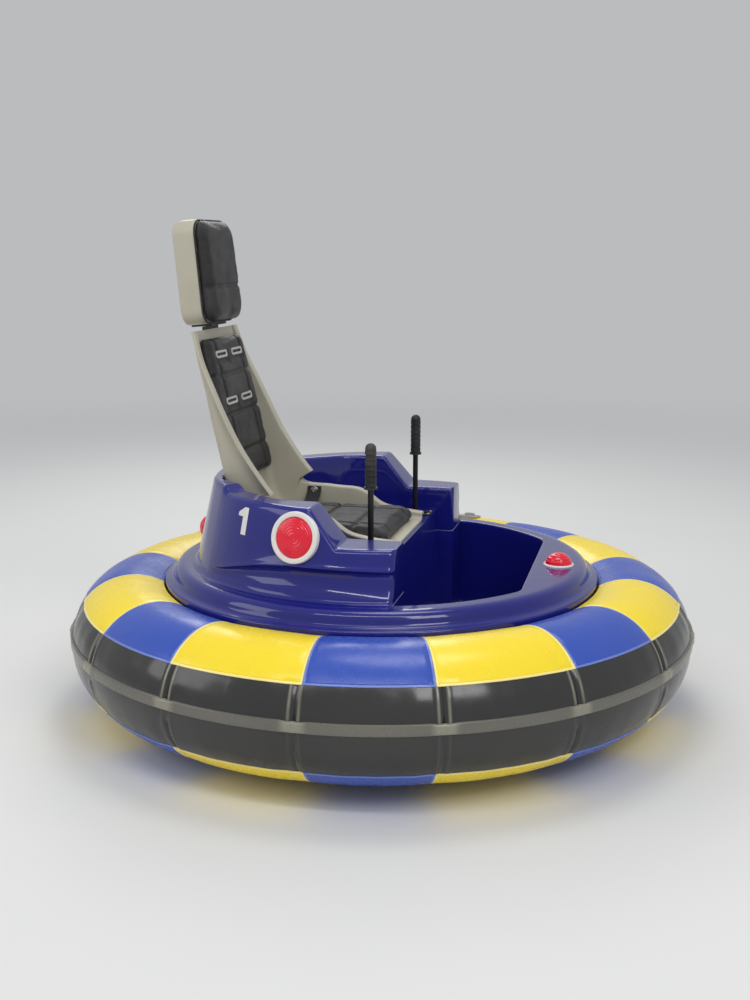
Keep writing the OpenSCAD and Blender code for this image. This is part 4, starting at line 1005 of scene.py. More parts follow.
def pad_slab(rows, thick):
    """Rings of a rounded slab that lies in the seat along some rows."""
    rings = []
    length = run_along(rows)
    for row, at in zip(rows, length):
        end = min(at, length[-1] - at)
        ease = sqrt(max(0.0, 1 - (1 - min(1.0, (end + 0.002) / PAD_ROUND)) ** 2))
        half = row[4] - SEAT_T - PAD_GAP - PAD_ROUND * (1 - ease)
        low = SEAT_T + 0.002
        high = low + (thick - 0.002) * (0.45 + 0.55 * ease)
        c = min(SEAT_CORNER * 0.6, (high - low) * 0.48)
        shoulder = arc((half - c, high - c), c, -50, 90, 6)
        outline = [(t * (half - SEAT_CORNER), low) for t in np.linspace(-1, 1, 9)]
        outline += shoulder
        outline += [(t * (half - c), high) for t in np.linspace(1, -1, 11)[1:-1]]
        outline += [(-a, b) for a, b in shoulder[::-1]]
        rings.append([in_section(row, a, b) for a, b in outline])
    return rings


def pressed(coordinate, places, depth):
    """How deep sewn seams at some places along a coordinate press a cushion in."""
    ways = [coordinate - place for place in places]
    return np.max([depth * np.exp(-((way / SEAM_WIDTH) ** 2)) for way in ways], axis=0)


# %% Back cushion
BACK_PAD_T = 0.028
BACK_CHANNELS = [0.085, 0.20, 0.315]
BACK_LINES = [-0.098, 0.098]
SLOT_HALF = (0.044, 0.011)
SLOT_HEIGHTS = [BACK_H - BACK_FOOT - down for down in (0.078, 0.216)]
back_up = np.array([-sin(BACK_LEAN), 0, cos(BACK_LEAN)])
back_out = np.array([cos(BACK_LEAN), 0, sin(BACK_LEAN)])
back_foot = np.array([FOOT_X, 0, RISER_Z + BACK_FOOT + 0.0003])
seat_span = smooth_rows(seat_rows, 160)
low_z = RISER_Z + BACK_FOOT * 0.95
back_part = seat_span[(seat_span[:, 1] > low_z) & (seat_span[:, 1] < RISER_Z + BACK_H * 0.975)]
back_mesh, back_points = swell("back_cushion", pad_slab(back_part, BACK_PAD_T - 0.004), 0.009)


def back_level():
    """How far each point of the back cushion lies in front of the seat's shell."""
    return (back_points - back_foot) @ back_out - SEAT_T


height = (back_points - back_foot) @ back_up
press = np.maximum(
    pressed(height, BACK_CHANNELS, 0.007), pressed(back_points[:, 1], BACK_LINES, 0.006)
)
face_share = smooth_step((back_level() - 0.014) / 0.008)
back_points = back_points - back_out * (press * face_share)[:, None]
for slot_height in SLOT_HEIGHTS:
    for side_sign in (-1, 1):
        beside = np.abs(back_points[:, 1] - side_sign * 0.32 * SEAT_HALF) - SLOT_HALF[0]
        above = np.abs(height - slot_height) - SLOT_HALF[1]
        seat = 1 - smooth_step(np.maximum(beside, above) / 0.012)
        proud = np.maximum(0.0, back_level() - BACK_PAD_T - 0.0002)
        back_points -= back_out * (proud * seat)[:, None]
back_points -= back_out * np.minimum(0.0, back_level() - 0.0006)[:, None]
back_pad = finish_pad("back_cushion_pad", back_mesh, back_points, "back_cushion")

# %% Seat cushion
PAN_PAD_T = 0.042
PAN_CHANNELS = [FOOT_X + along * PAN_L for along in (0.30, 0.52, 0.74)]
PAN_LINES = [-0.110, 0.110]
belt_low, belt_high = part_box("belt_left")
BELT_X = (belt_low.x + belt_high.x) / 2
BELT_W = belt_high.x - belt_low.x
pan_part = seat_span[(seat_span[:, 0] > FOOT_X + 0.20 * PAN_L) & (seat_span[:, 0] < FOOT_X + 0.965 * PAN_L)]
pan_part = pan_part[pan_part[:, 1] < RISER_Z + 0.02]
pan_mesh, pan_points = swell("seat_cushion", pad_slab(pan_part, PAN_PAD_T - 0.008), 0.014)
press = np.maximum(
    pressed(pan_points[:, 0], PAN_CHANNELS, 0.008), pressed(pan_points[:, 1], PAN_LINES, 0.007)
)
pan_low = RISER_Z + SEAT_T + 0.0008
face_share = smooth_step((pan_points[:, 2] - pan_low - 0.022) / 0.008)
pan_points[:, 2] = np.maximum(pan_points[:, 2] - press * face_share, pan_low)
under_belt = 1 - smooth_step((np.abs(pan_points[:, 0] - BELT_X) - BELT_W / 2) / 0.014)
pan_points[:, 2] -= np.maximum(0.0, pan_points[:, 2] - belt_low.z + 0.0006) * under_belt
pan_pad = finish_pad("seat_cushion_pad", pan_mesh, pan_points, "seat_cushion")

# %% [markdown]
# ## The headrest
# A light moulded box stands on a steel bracket, rounded along its rear top edge, and a black pad
# covers its front, thicker at the foot. The moulding gets a rounded rim where the pad meets it.

# %% Headrest moulding
REST_LEAN = radians(5)
REST_H = 0.298
REST_W = 0.262
REST_T = 0.066
REST_CORNER = 0.046
REST_BACK_R = 0.026
REST_PAD_T = 0.022
REST_WEDGE = 0.014
REST_DRAW_IN = 0.2
REST_SEAM_UP = 0.105
REST_Z = RISER_Z + BACK_H + 0.014
REST_X = seat_rows[0][0] - 0.040
rest_frame = Matrix.Translation((REST_X, 0, REST_Z)) @ Matrix.Rotation(-REST_LEAN, 4, "Y")


def placed(matrix, points):
    """Points moved by a matrix."""
    points = np.asarray(points, float).reshape(-1, 3)
    turn = np.array(matrix.to_3x3())
    return points @ turn.T + np.array(matrix.translation)


def rounded_outline(width, height, radius, steps=8):
    """A rounded rectangle about the origin, anticlockwise."""
    outline = []
    for quarter, (sx, sy) in enumerate([(1, 1), (-1, 1), (-1, -1), (1, -1)]):
        middle = (sx * (width / 2 - radius), sy * (height / 2 - radius))
        outline += arc(middle, radius, quarter * 90, quarter * 90 + 90, steps)
    return outline


def drawn_in(outline, inset):
    """An outline moved inwards by some metres."""
    outline = np.asarray(outline)
    along = np.roll(outline, -1, 0) - np.roll(outline, 1, 0)
    normal = np.stack([along[:, 1], -along[:, 0]], -1)
    normal /= np.linalg.norm(normal, axis=1, keepdims=True)
    return outline - normal * inset


def stacked(name, outline, levels, matrix, slot, shape=None):
    """A closed piece from an outline that is drawn in by an inset at each level, and then shaped."""
    flat = np.ones((len(outline), 1))
    rings = np.array([np.concatenate([drawn_in(outline, inset), flat * level], 1) for inset, level in levels])
    if shape:
        rings = shape(rings)
    return stack_piece(name, placed(matrix, rings).reshape(rings.shape), slot)


def edge_levels(low, high, radius, steps=4):
    """Insets and levels of a slab with both edges rounded."""
    turns = np.linspace(0, pi / 2, steps + 1)
    foot = [(radius * (1 - sin(t)), low + radius * (1 - cos(t))) for t in turns]
    top = [(radius * (1 - cos(t)), high - radius * (1 - sin(t))) for t in turns]
    return foot + top


def round_rear_top(points):
    """Pulls the points near the rear top edge on to its rounding."""
    up = points[..., 1] - (REST_H / 2 - REST_BACK_R)
    back = REST_BACK_R - points[..., 2]
    far = np.hypot(up, back)
    pull = np.where((up > 0) & (back > 0) & (far > REST_BACK_R), REST_BACK_R / np.maximum(far, 1e-9), 1.0)
    shaped = points.copy()
    shaped[..., 1] += up * (pull - 1)
    shaped[..., 2] -= back * (pull - 1)
    return shaped


facing_front = Matrix(((0, 0, 1, 0), (1, 0, 0, 0), (0, 1, 0, REST_H / 2), (0, 0, 0, 1)))
rest_outline = rounded_outline(REST_W, REST_H, REST_CORNER, 10)
rest_edges = edge_levels(0.0, REST_T, 0.007)
levels = [(inset, 0.0) for inset in (0.036, 0.030, 0.024, 0.018, 0.012)] + rest_edges[:5]
levels += [(0.0, level) for level in (0.010, 0.014, 0.018, 0.022, 0.027)] + rest_edges[5:]
rest_piece = stacked(
    "headrest_moulding", rest_outline, levels, rest_frame @ facing_front, "seat_moulding", round_rear_top
)
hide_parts("headrest_shell")

# %% Headrest pad
pad_levels = [
    # inset, share of the thickness
    (0.040, 0.0), (0.004, 0.0), (0.0, 0.15), (0.0, 0.45), (0.003, 0.68), (0.010, 0.82), (0.022, 0.88),
    (0.060, 0.9),
]
pad_outline = rounded_outline(REST_W - 0.008, REST_H - 0.008, REST_CORNER - 0.004, 8)
pad_rings = []
for inset, share in pad_levels:
    ring_points = drawn_in(pad_outline, inset)
    up = ring_points[:, 1] + REST_H / 2
    thick = REST_PAD_T + REST_WEDGE * (1 - up / REST_H)
    pad_rings.append(np.stack([REST_T + 0.0008 + share * thick, ring_points[:, 0], up], -1))
pad_rings = placed(rest_frame, pad_rings).reshape(len(pad_levels), -1, 3)
rest_mesh, rest_points = swell("headrest_pad", pad_rings, 0.010)
rest_out = np.array(rest_frame.to_3x3() @ Vector((1, 0, 0)))
rest_up = np.array(rest_frame.to_3x3() @ Vector((0, 0, 1)))
rest_foot = np.array(rest_frame.translation)
rest_start = mesh_points(rest_mesh)
moved = rest_points - rest_start
outwards = (moved @ rest_out)[:, None] * rest_out
rest_points = rest_start + outwards + (moved - outwards) * REST_DRAW_IN
out = (rest_points - rest_foot) @ rest_out
up = (rest_points - rest_foot) @ rest_up
press = pressed(up, [REST_SEAM_UP], 0.006) * smooth_step((out - REST_T - 0.012) / 0.006)
rest_points -= rest_out * press[:, None]
sunk = np.minimum(0.0, (rest_points - rest_foot) @ rest_out - REST_T - 0.0006)
rest_points -= rest_out * sunk[:, None]
rest_pad = finish_pad("headrest_front_pad", rest_mesh, rest_points, "headrest_pad")


# %% Piping round the headrest
def piping(name, path, radius, slot, sides=10):
    """A round cord along a closed path."""
    along = np.roll(path, -1, 0) - np.roll(path, 1, 0)
    along /= np.linalg.norm(along, axis=1, keepdims=True)
    across = np.cross(along[0], (0.31, 0.17, 0.93))
    turns = np.arange(sides) * 2 * pi / sides
    rings = []
    for point, tangent in zip(path, along):
        across = across - tangent * np.dot(across, tangent)
        across = across / np.linalg.norm(across)
        other = np.cross(tangent, across)
        rings.append([point + radius * (cos(t) * across + sin(t) * other) for t in turns])
    return make_piece(name, rings, grid_faces(len(rings), sides, True, True), slot)


rim = rounded_outline(REST_W - 0.0058, REST_H - 0.0058, REST_CORNER - 0.003, 10)
rim_path = placed(rest_frame @ facing_front, [(x, z, REST_T + 0.0012) for x, z in rim])
piping("headrest_piping", rim_path, 0.0026, "seat_vinyl")

# %% [markdown]
# ## Lamps
# A lamp is a white ring and a red lens, both spun from a profile about their own axis and put on the
# leaning wall. The side lenses are shallow with fine rings, and the front and rear ones are tall
# ribbed domes.

# %% Turned pieces
def spin(profile, sides, shift=0.0):
    """A ring of points for each (radius, height) of a profile."""
    turns = (np.arange(sides) + shift) * 2 * pi / sides
    return np.array([[(r * cos(t), r * sin(t), h) for t in turns] for r, h in profile])


def turned(name, profile, matrix, slot, sides=96):
    """A closed piece from a profile that starts and ends on the axis."""
    inner = profile[1:-1]
    axis = [(0, 0, profile[0][1]), (0, 0, profile[-1][1])]
    points = np.concatenate([spin(inner, sides).reshape(-1, 3), axis])
    faces = grid_faces(len(inner), sides, round_columns=True)
    first, last, top = len(points) - 2, len(points) - 1, (len(inner) - 1) * sides
    for j in range(sides):
        faces.append([first, (j + 1) % sides, j])
        faces.append([last, top + j, top + (j + 1) % sides])
    return make_piece(name, placed(matrix, points), faces, slot, 60.0)


def turned_ring(name, profile, matrix, slot, sides=96):
    """A closed ring from a closed profile."""
    rings = spin(profile, sides).swapaxes(0, 1)
    return make_piece(name, placed(matrix, rings), grid_faces(sides, len(profile), True, True), slot, 40.0)


def wall_radius(z):
    return FOOT_R - (z - deck_top) * LEAN


def on_wall(azimuth, z):
    """A frame on the leaning wall, with Z straight out of it and Y to the right as one looks at it."""
    upright = Matrix.Rotation(pi / 2 - atan(LEAN), 4, "Y")
    return Matrix.Rotation(radians(azimuth), 4, "Z") @ Matrix.Translation((wall_radius(z), 0, z)) @ upright


# %% Rings and lenses
NOSE_LAMP_X = RING_R - TUBE_R - 0.028
LAMP_SINK = 0.012
lamps = {
    # place, diameters of ring and lens, heights of ring and dome, ribs
    "right": (on_wall(-103, deck_top + 0.157), 0.138, 0.108, 0.009, 0.012, 9),
    "left": (on_wall(103, deck_top + 0.157), 0.138, 0.108, 0.009, 0.012, 9),
    "rear": (on_wall(180, deck_top + 0.055), 0.096, 0.082, 0.009, 0.036, 5),
    "nose": (Matrix.Translation((NOSE_LAMP_X, 0, deck_top)), 0.088, 0.076, 0.005, 0.032, 5),
}
ring_pieces, lens_pieces = [], []
for where, (matrix, ring_d, lens_d, ring_h, dome_h, ribs) in lamps.items():
    outer, inner = ring_d / 2, lens_d / 2
    ring_profile = [(inner, -LAMP_SINK), (outer - 0.0002, -LAMP_SINK)]
    ring_profile += arc((outer - 0.0042, ring_h - 0.004), 0.004, 0, 90, 5)
    ring_profile += arc((inner + 0.0030, ring_h - 0.003), 0.0028, 90, 180, 4)
    ring_pieces.append(turned_ring("lamp_ring_" + where, ring_profile, matrix, "lamp_white"))
    radius = inner - 0.0003
    profile = [(0.0, -LAMP_SINK), (radius, -LAMP_SINK), (radius, 0.001)]
    for t in np.linspace(0.02, 1.0, 60):
        turn = t * pi / 2
        wave = 0.0005 * cos(2 * pi * ribs * t) * min(1.0, 6 * (1 - t))
        profile.append(((radius + wave) * cos(turn), 0.003 + (dome_h + wave) * sin(turn)))
    profile[-1] = (0.0, profile[-1][1])
    lens_pieces.append(turned("lamp_lens_" + where, profile, matrix, "lamp_red"))
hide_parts("lamp_bezels")
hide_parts("lamp_lenses")

# %% [markdown]
# ## The car's number
# A plain white numeral is painted on each side of the rear body, so that riders find their car. It
# lies on the leaning wall, row by row.

# %% Numeral
NUMERAL_H = 0.072
NUMERAL_LOW = deck_top + 0.141
NUMERAL_AZ = 123.7
stem = (-0.0085, 0.0115)
flag_tip = -0.029


def numeral_edges(v):
    """Left and right edge of the numeral at a share of its height."""
    if v < 0.655:
        return stem
    if v < 0.79:
        return (flag_tip, stem[1])
    return (flag_tip + (stem[0] + 0.004 - flag_tip) * (v - 0.79) / 0.21, stem[1])


for name, sign in (("right", -1), ("left", 1)):
    rows = []
    for v in np.concatenate([np.linspace(0, 0.654, 12), np.linspace(0.656, 1, 12)]):
        z = NUMERAL_LOW + v * NUMERAL_H
        radius = wall_radius(z) + 0.0005
        turns = radians(sign * NUMERAL_AZ) + np.linspace(*numeral_edges(v), 7) / radius
        rows.append([(radius * cos(t), radius * sin(t), z) for t in turns])
    rows = np.array(rows)
    make_piece("numeral_" + name, *closed_sheet(rows, rows * (0.997, 0.997, 1.0)), "lamp_white")

# %% [markdown]
# ## Deck, lip and footwell
# The deck is a ring with a stepped lip that holds the tube, and the footwell hangs from its inner
# edge. Both are one moulding in glass fibre, so they are made as one skin: rows of points start on the
# well's floor, climb its wall, roll over its edge, run out to a circle and fall over the lip.

# %% The well's outline
WELL_R = RING_R - TUBE_R - 0.0003 - 0.005 - 0.0007 - 0.006
WELL_FRONT = WELL_R - 0.091
WELL_CORNER_R = 0.060
corner_x = WELL_FRONT - WELL_CORNER_R
corner_y = sqrt((WELL_R - WELL_CORNER_R) ** 2 - corner_x**2)
corner_turn = atan2(corner_y, corner_x)
CROWN_R = LIP_R - 0.062


def well_side(grow):
    """The left half of the well's outline, from its front round to its rear, grown by some metres."""
    front = WELL_FRONT + grow
    points = [(front, y) for y in np.linspace(0, corner_y, 9)[:-1]]
    for t in np.linspace(0, corner_turn, 9):
        reach = WELL_CORNER_R + grow
        points.append((corner_x + reach * cos(t), corner_y + reach * sin(t)))
    wall = POD_FRONT - grow
    meet = acos(wall / (WELL_R + grow))
    points += [((WELL_R + grow) * cos(t), (WELL_R + grow) * sin(t))
               for t in np.linspace(corner_turn, meet, 12)[1:]]
    points += [points[-1]] * 3
    points += [(wall, y) for y in np.linspace(points[-1][1], BAY_HALF + grow, 8)[1:]]
    points += [(x, BAY_HALF + grow) for x in np.linspace(wall, -BAY_TAPER + 0.03, 14)[1:]]
    for x, y, facing in side_corner + rear_corner:
        points.append((x + grow * cos(facing), y + grow * sin(facing)))
    points += [(-BAY_REAR - grow, y) for y in np.linspace(0.11, 0, 5)]
    return np.array(points)


def whole_outline(grow):
    half = well_side(grow)
    return np.concatenate([half, half[-2:0:-1] * (1, -1)])


well_base = whole_outline(0.0)
half_count = len(well_side(0.0))
meet_turn = degrees(acos(POD_FRONT / WELL_R))
clear_turn = degrees(acos(POD_FRONT / CROWN_R)) + 0.3
fan_start = 8 + 9 + 11
target_turn = []
for i, (x, y) in enumerate(well_side(0.0)):
    if i < fan_start:
        target_turn.append(degrees(atan2(y, x)))
    elif i < fan_start + 3:
        target_turn.append(meet_turn + (clear_turn - meet_turn) * (i - fan_start + 1) / 3)
    else:
        share = (i - fan_start - 2) / (half_count - 1 - fan_start - 2)
        target_turn.append(clear_turn + (180 - clear_turn) * share)
target_turn = np.radians(target_turn + [-t for t in target_turn[-2:0:-1]])
outward_way = np.stack([np.cos(target_turn), np.sin(target_turn)], -1)

# %% Rows of the moulding
FLOOR_Z = 0.147
MOULD_T = 0.006
WELL_EDGE_R = 0.007
WELL_FILLET = 0.020
rows = []
for t in np.linspace(0, pi / 2, 6):
    rows.append((whole_outline(-WELL_FILLET * (1 - sin(t))), FLOOR_Z + WELL_FILLET * (1 - cos(t))))
for z in np.linspace(FLOOR_Z + WELL_FILLET, deck_top - WELL_EDGE_R, 7)[1:-1]:
    rows.append((well_base, z))
for t in np.linspace(0, pi / 2, 6):
    rows.append((whole_outline(WELL_EDGE_R * (1 - cos(t))), deck_top - WELL_EDGE_R * (1 - sin(t))))
edge_line = rows[-1][0]
for share in (0.06, 0.2, 0.5, 0.8):
    rows.append((edge_line + (outward_way * CROWN_R - edge_line) * share, deck_top))
LIP_TOP = deck_top - 0.046
STEP_R = LIP_R - 0.024
fall = [
    (0, 0), (6, 0.3), (12, 1.4), (18, 3.6), (24, 7.2), (28.5, 12), (31.5, 17.5), (33.6, 23), (35.4, 28.6),
    (37.2, 32.6), (40, 35.6), (44, 37.8), (50, 39.6), (54, 40.6),
]
lip = [(CROWN_R + along / 1000, deck_top - down / 1000) for along, down in fall]
lip += arc((LIP_R - 0.0065, LIP_TOP - 0.0015), 0.0065, 80, 0, 6)
lip += [(LIP_R, LIP_TOP - 0.009), (LIP_R - 0.0006, LIP_TOP - 0.0135), (LIP_R - 0.009, LIP_TOP - 0.0175)]
lip += [(LIP_R - 0.010, LIP_TOP - 0.006), (STEP_R - 0.008, LIP_TOP + 0.002)]
lip += [(STEP_R - 0.016, LIP_TOP + 0.022)]
rows += [(outward_way * radius, z) for radius, z in lip]
under_edge = whole_outline(MOULD_T)
for share in (0.9, 0.4, 0.0):
    rows.append((under_edge + (outward_way * CROWN_R - under_edge) * share, deck_top - MOULD_T))
rows.append((under_edge, FLOOR_Z - MOULD_T + 0.012))
rows.append((whole_outline(MOULD_T - 0.012), FLOOR_Z - MOULD_T))
deck_rings = [np.concatenate([flat, np.full((len(flat), 1), z)], 1) for flat, z in rows]
deck_piece = stack_piece("deck_and_well", deck_rings, "body_shell", 50.0)
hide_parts("deck", "tub")

# %% [markdown]
# ## Rounded edges for the rigid parts
# Cut and folded parts have no knife edges. A copy of each CAD part is merged, its flat faces are
# joined, and every sharp edge gets a small rounding that the light can run along. The copy takes the
# part's place.

# %% Round the edges of CAD parts
SHARP_EDGE = radians(40)
ROUNDED = {
    "seat_riser": 0.005, "lever_mounts": 0.0010, "headrest_bracket": 0.0012, "tube_valve": 0.0008,
    "battery_left": 0.006, "battery_right": 0.006, "drive_mounts": 0.0012, "chassis_plate": 0.0012,
    "belt_guides": 0.0010,
}


def softened(node_name, radius):
    """A copy of a fixed CAD part with rounded edges, which takes the part's place."""
    form = bmesh.new()
    form.from_mesh(frame["nodes"][node_name].data)
    bmesh.ops.remove_doubles(form, verts=form.verts, dist=0.000002)
    bmesh.ops.dissolve_limit(form, angle_limit=radians(0.6), verts=form.verts, edges=form.edges)
    edges = [edge for edge in form.edges if edge.is_manifold and edge.calc_face_angle() > SHARP_EDGE]
    bmesh.ops.bevel(
        form, geom=edges, offset=radius, segments=3, profile=0.5, affect="EDGES", clamp_overlap=True
    )
    bmesh.ops.triangulate(form, faces=[face for face in form.faces if len(face.verts) > 4])
    mesh = bpy.data.meshes.new(node_name + "_rounded")
    form.to_mesh(mesh)
    form.free()
    piece = dress(node_name + "_rounded", mesh, slot_of[node_name], sharp=34)
    weight = piece.modifiers.new("flat_faces", "WEIGHTED_NORMAL")
    weight.keep_sharp = True
    apply_modifiers(piece)
    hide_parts(node_name)


for node_name, radius in ROUNDED.items():
    softened(node_name, radius)

# %% [markdown]
# ## Repeated details with Geometry Nodes
# Screws stand in rings, stitches follow seams and studs fill the mat. Each rule is a small geometry
# tree with named inputs. The tree's instances are realised, and the evaluated result becomes a plain
# mesh before it joins the car.

# %% Pattern: a geometry tree with named inputs
class Pattern(Tree):
    """A geometry tree that puts a part on points, under construction."""

    def __init__(self, name, **inputs):
        self.tree = bpy.data.node_groups.new(name, "GeometryNodeTree")
        face = self.tree.interface
        self.identifiers = {}
        inputs = {"Geometry": "Geometry", "Part": "Object", "Material": "Material", **inputs}
        for key, kind in inputs.items():
            made = face.new_socket(key, in_out="INPUT", socket_type="NodeSocket" + kind)
            self.identifiers[key] = made.identifier
        face.new_socket("Geometry", in_out="OUTPUT", socket_type="NodeSocketGeometry")
        self.source = self.tree.nodes.new("NodeGroupInput")
        self.end = self.tree.nodes.new("NodeGroupOutput")

    def value(self, key):
        return Wire(self, self.source.outputs[key])

    def close(self, points, facing, size):
        """Ends the tree: the part stands on each point, faces a way, and is realised and painted."""
        part = self.node("GeometryNodeObjectInfo", {}, {"Object": self.value("Part")}, "Geometry")
        turn = self.node("FunctionNodeAlignRotationToVector", {"axis": "Z"}, {"Vector": facing})
        values = {"Points": points, "Instance": part, "Rotation": turn, "Scale": size}
        real = self.node("GeometryNodeInstanceOnPoints", {}, values)
        real = self.node("GeometryNodeRealizeInstances", {}, {0: real})
        painted = self.node("GeometryNodeSetMaterial", {}, {0: real, "Material": self.value("Material")})
        self.put(self.end.inputs[0], painted)

    def grow(self, name, mesh, slot, values, body="car"):
        """Runs the tree on a mesh and returns the result as a finished piece."""
        carrier = add_object(name + "_carrier", mesh)
        nodes = carrier.modifiers.new("pattern", "NODES")
        nodes.node_group = self.tree
        for key, value in {**values, "Material": finishes[slot].material}.items():
            nodes[self.identifiers[key]] = value
        result = evaluated_mesh(carrier)
        bpy.data.objects.remove(carrier)
        for attribute in [one for one in result.attributes if one.name == "facing"]:
            result.attributes.remove(attribute)
        return dress(name, result, slot, body, 35.0)


# %% Heads to repeat
def small_part(name, profile, sides):
    """A turned or many-sided part, about 1 metre wide, for a pattern to shrink."""
    points = spin(profile, sides, 0.5).reshape(-1, 3)
    mesh = plain_mesh(name, points, outward(points, tube_faces(len(profile), sides)))
    return bpy.data.objects.new(name, mesh)


pan_profile = [(0.5, -0.1), (0.5, 0.08), (0.46, 0.2), (0.36, 0.29), (0.24, 0.32), (0.21, 0.32), (0.2, 0.14)]
pan_head = small_part("pan_head", pan_profile, 18)
hex_head = small_part("hex_head", [(0.5, -0.1), (0.5, 0.28), (0.46, 0.34), (0.3, 0.36)], 6)
washer = small_part("washer", [(0.62, -0.12), (0.62, 0.05), (0.58, 0.08)], 20)
stud = small_part("stud", [(0.5, -0.2), (0.48, 0.1), (0.4, 0.16)], 10)
head_rule = Pattern("heads_on_points", **{"Head width": "Float"})
facing = head_rule.node("GeometryNodeInputNamedAttribute", {"data_type": "FLOAT_VECTOR"}, {"Name": "facing"})
head_rule.close(head_rule.value("Geometry"), facing, head_rule.value("Head width"))


def heads(name, spots, width, slot, body="car", part=pan_head):
    """Heads at (place, direction) spots, one on each, as one piece."""
    mesh = plain_mesh("spots", [place for place, _ in spots], [])
    facing = mesh.attributes.new("facing", "FLOAT_VECTOR", "POINT")
    for item, (_, direction) in zip(facing.data, spots):
        item.vector = Vector(direction).normalized()
    return head_rule.grow(name, mesh, slot, {"Part": part, "Head width": width}, body)


def bolts(name, spots, washer_width, head_width):
    """Hexagon heads, each on its washer."""
    heads(name + "_washers", spots, washer_width, "zinc_steel", part=washer)
    heads(name + "_bolts", spots, head_width, "zinc_steel", part=hex_head)


# %% [markdown]
# ## Screws, bolts and nuts
# Pan heads hold the lever plates, hexagon heads with washers hold the headrest's bracket and the
# casters, plain hexagon heads hold the steel plate, and nuts hold the drive wheels. Each row of spots is
# written from the sizes of the part that it fastens.

# %% Screws on the lever plates and bolts on the bracket
SIDES = {"left": 1, "right": -1}
PLATE_EDGE = 0.0065
mount_low, mount_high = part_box("lever_mounts")
plate_top = RISER_Z + 0.0003 + 0.005
shaft_low, shaft_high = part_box("lever_shaft_left")
LEVER_X = (shaft_low.x + shaft_high.x) / 2
LEVER_Y = (shaft_low.y + shaft_high.y) / 2
half_long = (mount_high.x - mount_low.x) / 2 - PLATE_EDGE
half_wide = mount_high.y - LEVER_Y - PLATE_EDGE
plate_spots = [
    ((LEVER_X + a * half_long, side * LEVER_Y + b * half_wide, plate_top), (0, 0, 1))
    for side in (-1, 1) for a in (-1, 1) for b in (-1, 1)
]
heads("lever_plate_screws", plate_spots, 0.0085, "zinc_steel")

behind = Vector((-cos(BACK_LEAN), 0, -sin(BACK_LEAN)))
down = Vector((sin(BACK_LEAN), 0, -cos(BACK_LEAN)))
back_top = Vector((seat_rows[0][0], 0, seat_rows[0][1] + 0.0003)) + behind * 0.0063
bracket_spots = [
    (back_top + down * deep + Vector((0, side * 0.042, 0)), behind)
    for deep in (0.024, 0.070) for side in (-1, 1)
]
bolts("bracket", bracket_spots, 0.016, 0.0135)

# %% Bolts and nuts under the car
HUB_BOLT_R = 0.036
plate_low, plate_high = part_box("chassis_plate")
rim_r = 0.93 * plate_high.x
caster_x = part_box("caster_plates")[1].x - 0.048
under_spots = [
    ((end * caster_x + a * 0.036, b * 0.030, plate_low.z - 0.0053), (0, 0, -1))
    for end in (-1, 1) for a in (-1, 1) for b in (-1, 1)
]
bolts("caster", under_spots, 0.016, 0.0135)
rim_spots = [
    ((rim_r * cos(t), rim_r * sin(t), plate_low.z), (0, 0, -1))
    for t in np.radians([25, 48, 132, 155, 205, 228, 312, 335])
]
heads("plate_rim_bolts", rim_spots, 0.0165, "zinc_steel", part=hex_head)
tyre_low, tyre_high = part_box("drive_tyre_left")
AXLE_Z = (tyre_low.z + tyre_high.z) / 2
NUT_Y = (tyre_low.y + tyre_high.y) / 2 - 0.006
for name, side in SIDES.items():
    turns = [(i + 0.5) * 2 * pi / 5 for i in range(5)]
    nut_spots = [
        ((HUB_BOLT_R * cos(t), side * NUT_Y, AXLE_Z + HUB_BOLT_R * sin(t)), (0, -side, 0)) for t in turns
    ]
    heads("wheel_nuts_" + name, nut_spots, 0.013, "zinc_steel", "wheel_" + name, hex_head)

# %% [markdown]
# ## Footwell mat
# The rubber mat keeps its CAD slab and gets round studs on a staggered grid, as such mats have. Only
# spots that lie well inside its outline get a stud.

# %% Studs
STUD_STEP = 0.022
STUD_EDGE = 0.012
mat_low, mat_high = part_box("floor_mat")
mat_edge = well_side(-2 * STUD_EDGE)
mat_front = mat_edge[mat_edge[:, 0] > mat_low.x][:fan_start]
stud_spots = []
for i, x in enumerate(np.arange(mat_low.x + 0.014, mat_high.x - STUD_EDGE, STUD_STEP * 0.866)):
    reach = np.interp(-x, -mat_front[:, 0], mat_front[:, 1])
    if x < POD_FRONT + STUD_EDGE:
        reach = BAY_HALF - 0.026
    for y in np.arange(-0.53, 0.53, STUD_STEP) + (i % 2) * STUD_STEP / 2:
        if abs(y) < reach:
            stud_spots.append(((x, y, mat_high.z), (0, 0, 1)))
heads("mat_studs", stud_spots, 0.0125, "floor_rubber", part=stud)

# %% [markdown]
# ## Lap belt
# Webbing is flat, so it is swept directly: a thin rounded section follows a path from the buckle over
# the cushion and up inside the wing, where a bolt holds it. The buckle has a red release button.

# %% Webbing
def soft_path(points, reach, steps=6):
    """A path whose corners are rounded over some reach on each side."""
    points = [np.asarray(point, float) for point in points]
    path = [points[0]]
    for before, here, after in zip(points, points[1:], points[2:]):
        a = here + (before - here) * min(0.5, reach / np.linalg.norm(before - here))
        b = here + (after - here) * min(0.5, reach / np.linalg.norm(after - here))
        path += [(1 - t) ** 2 * a + 2 * t * (1 - t) * here + t * t * b for t in np.linspace(0, 1, steps)]
    return np.array(path + [points[-1]])


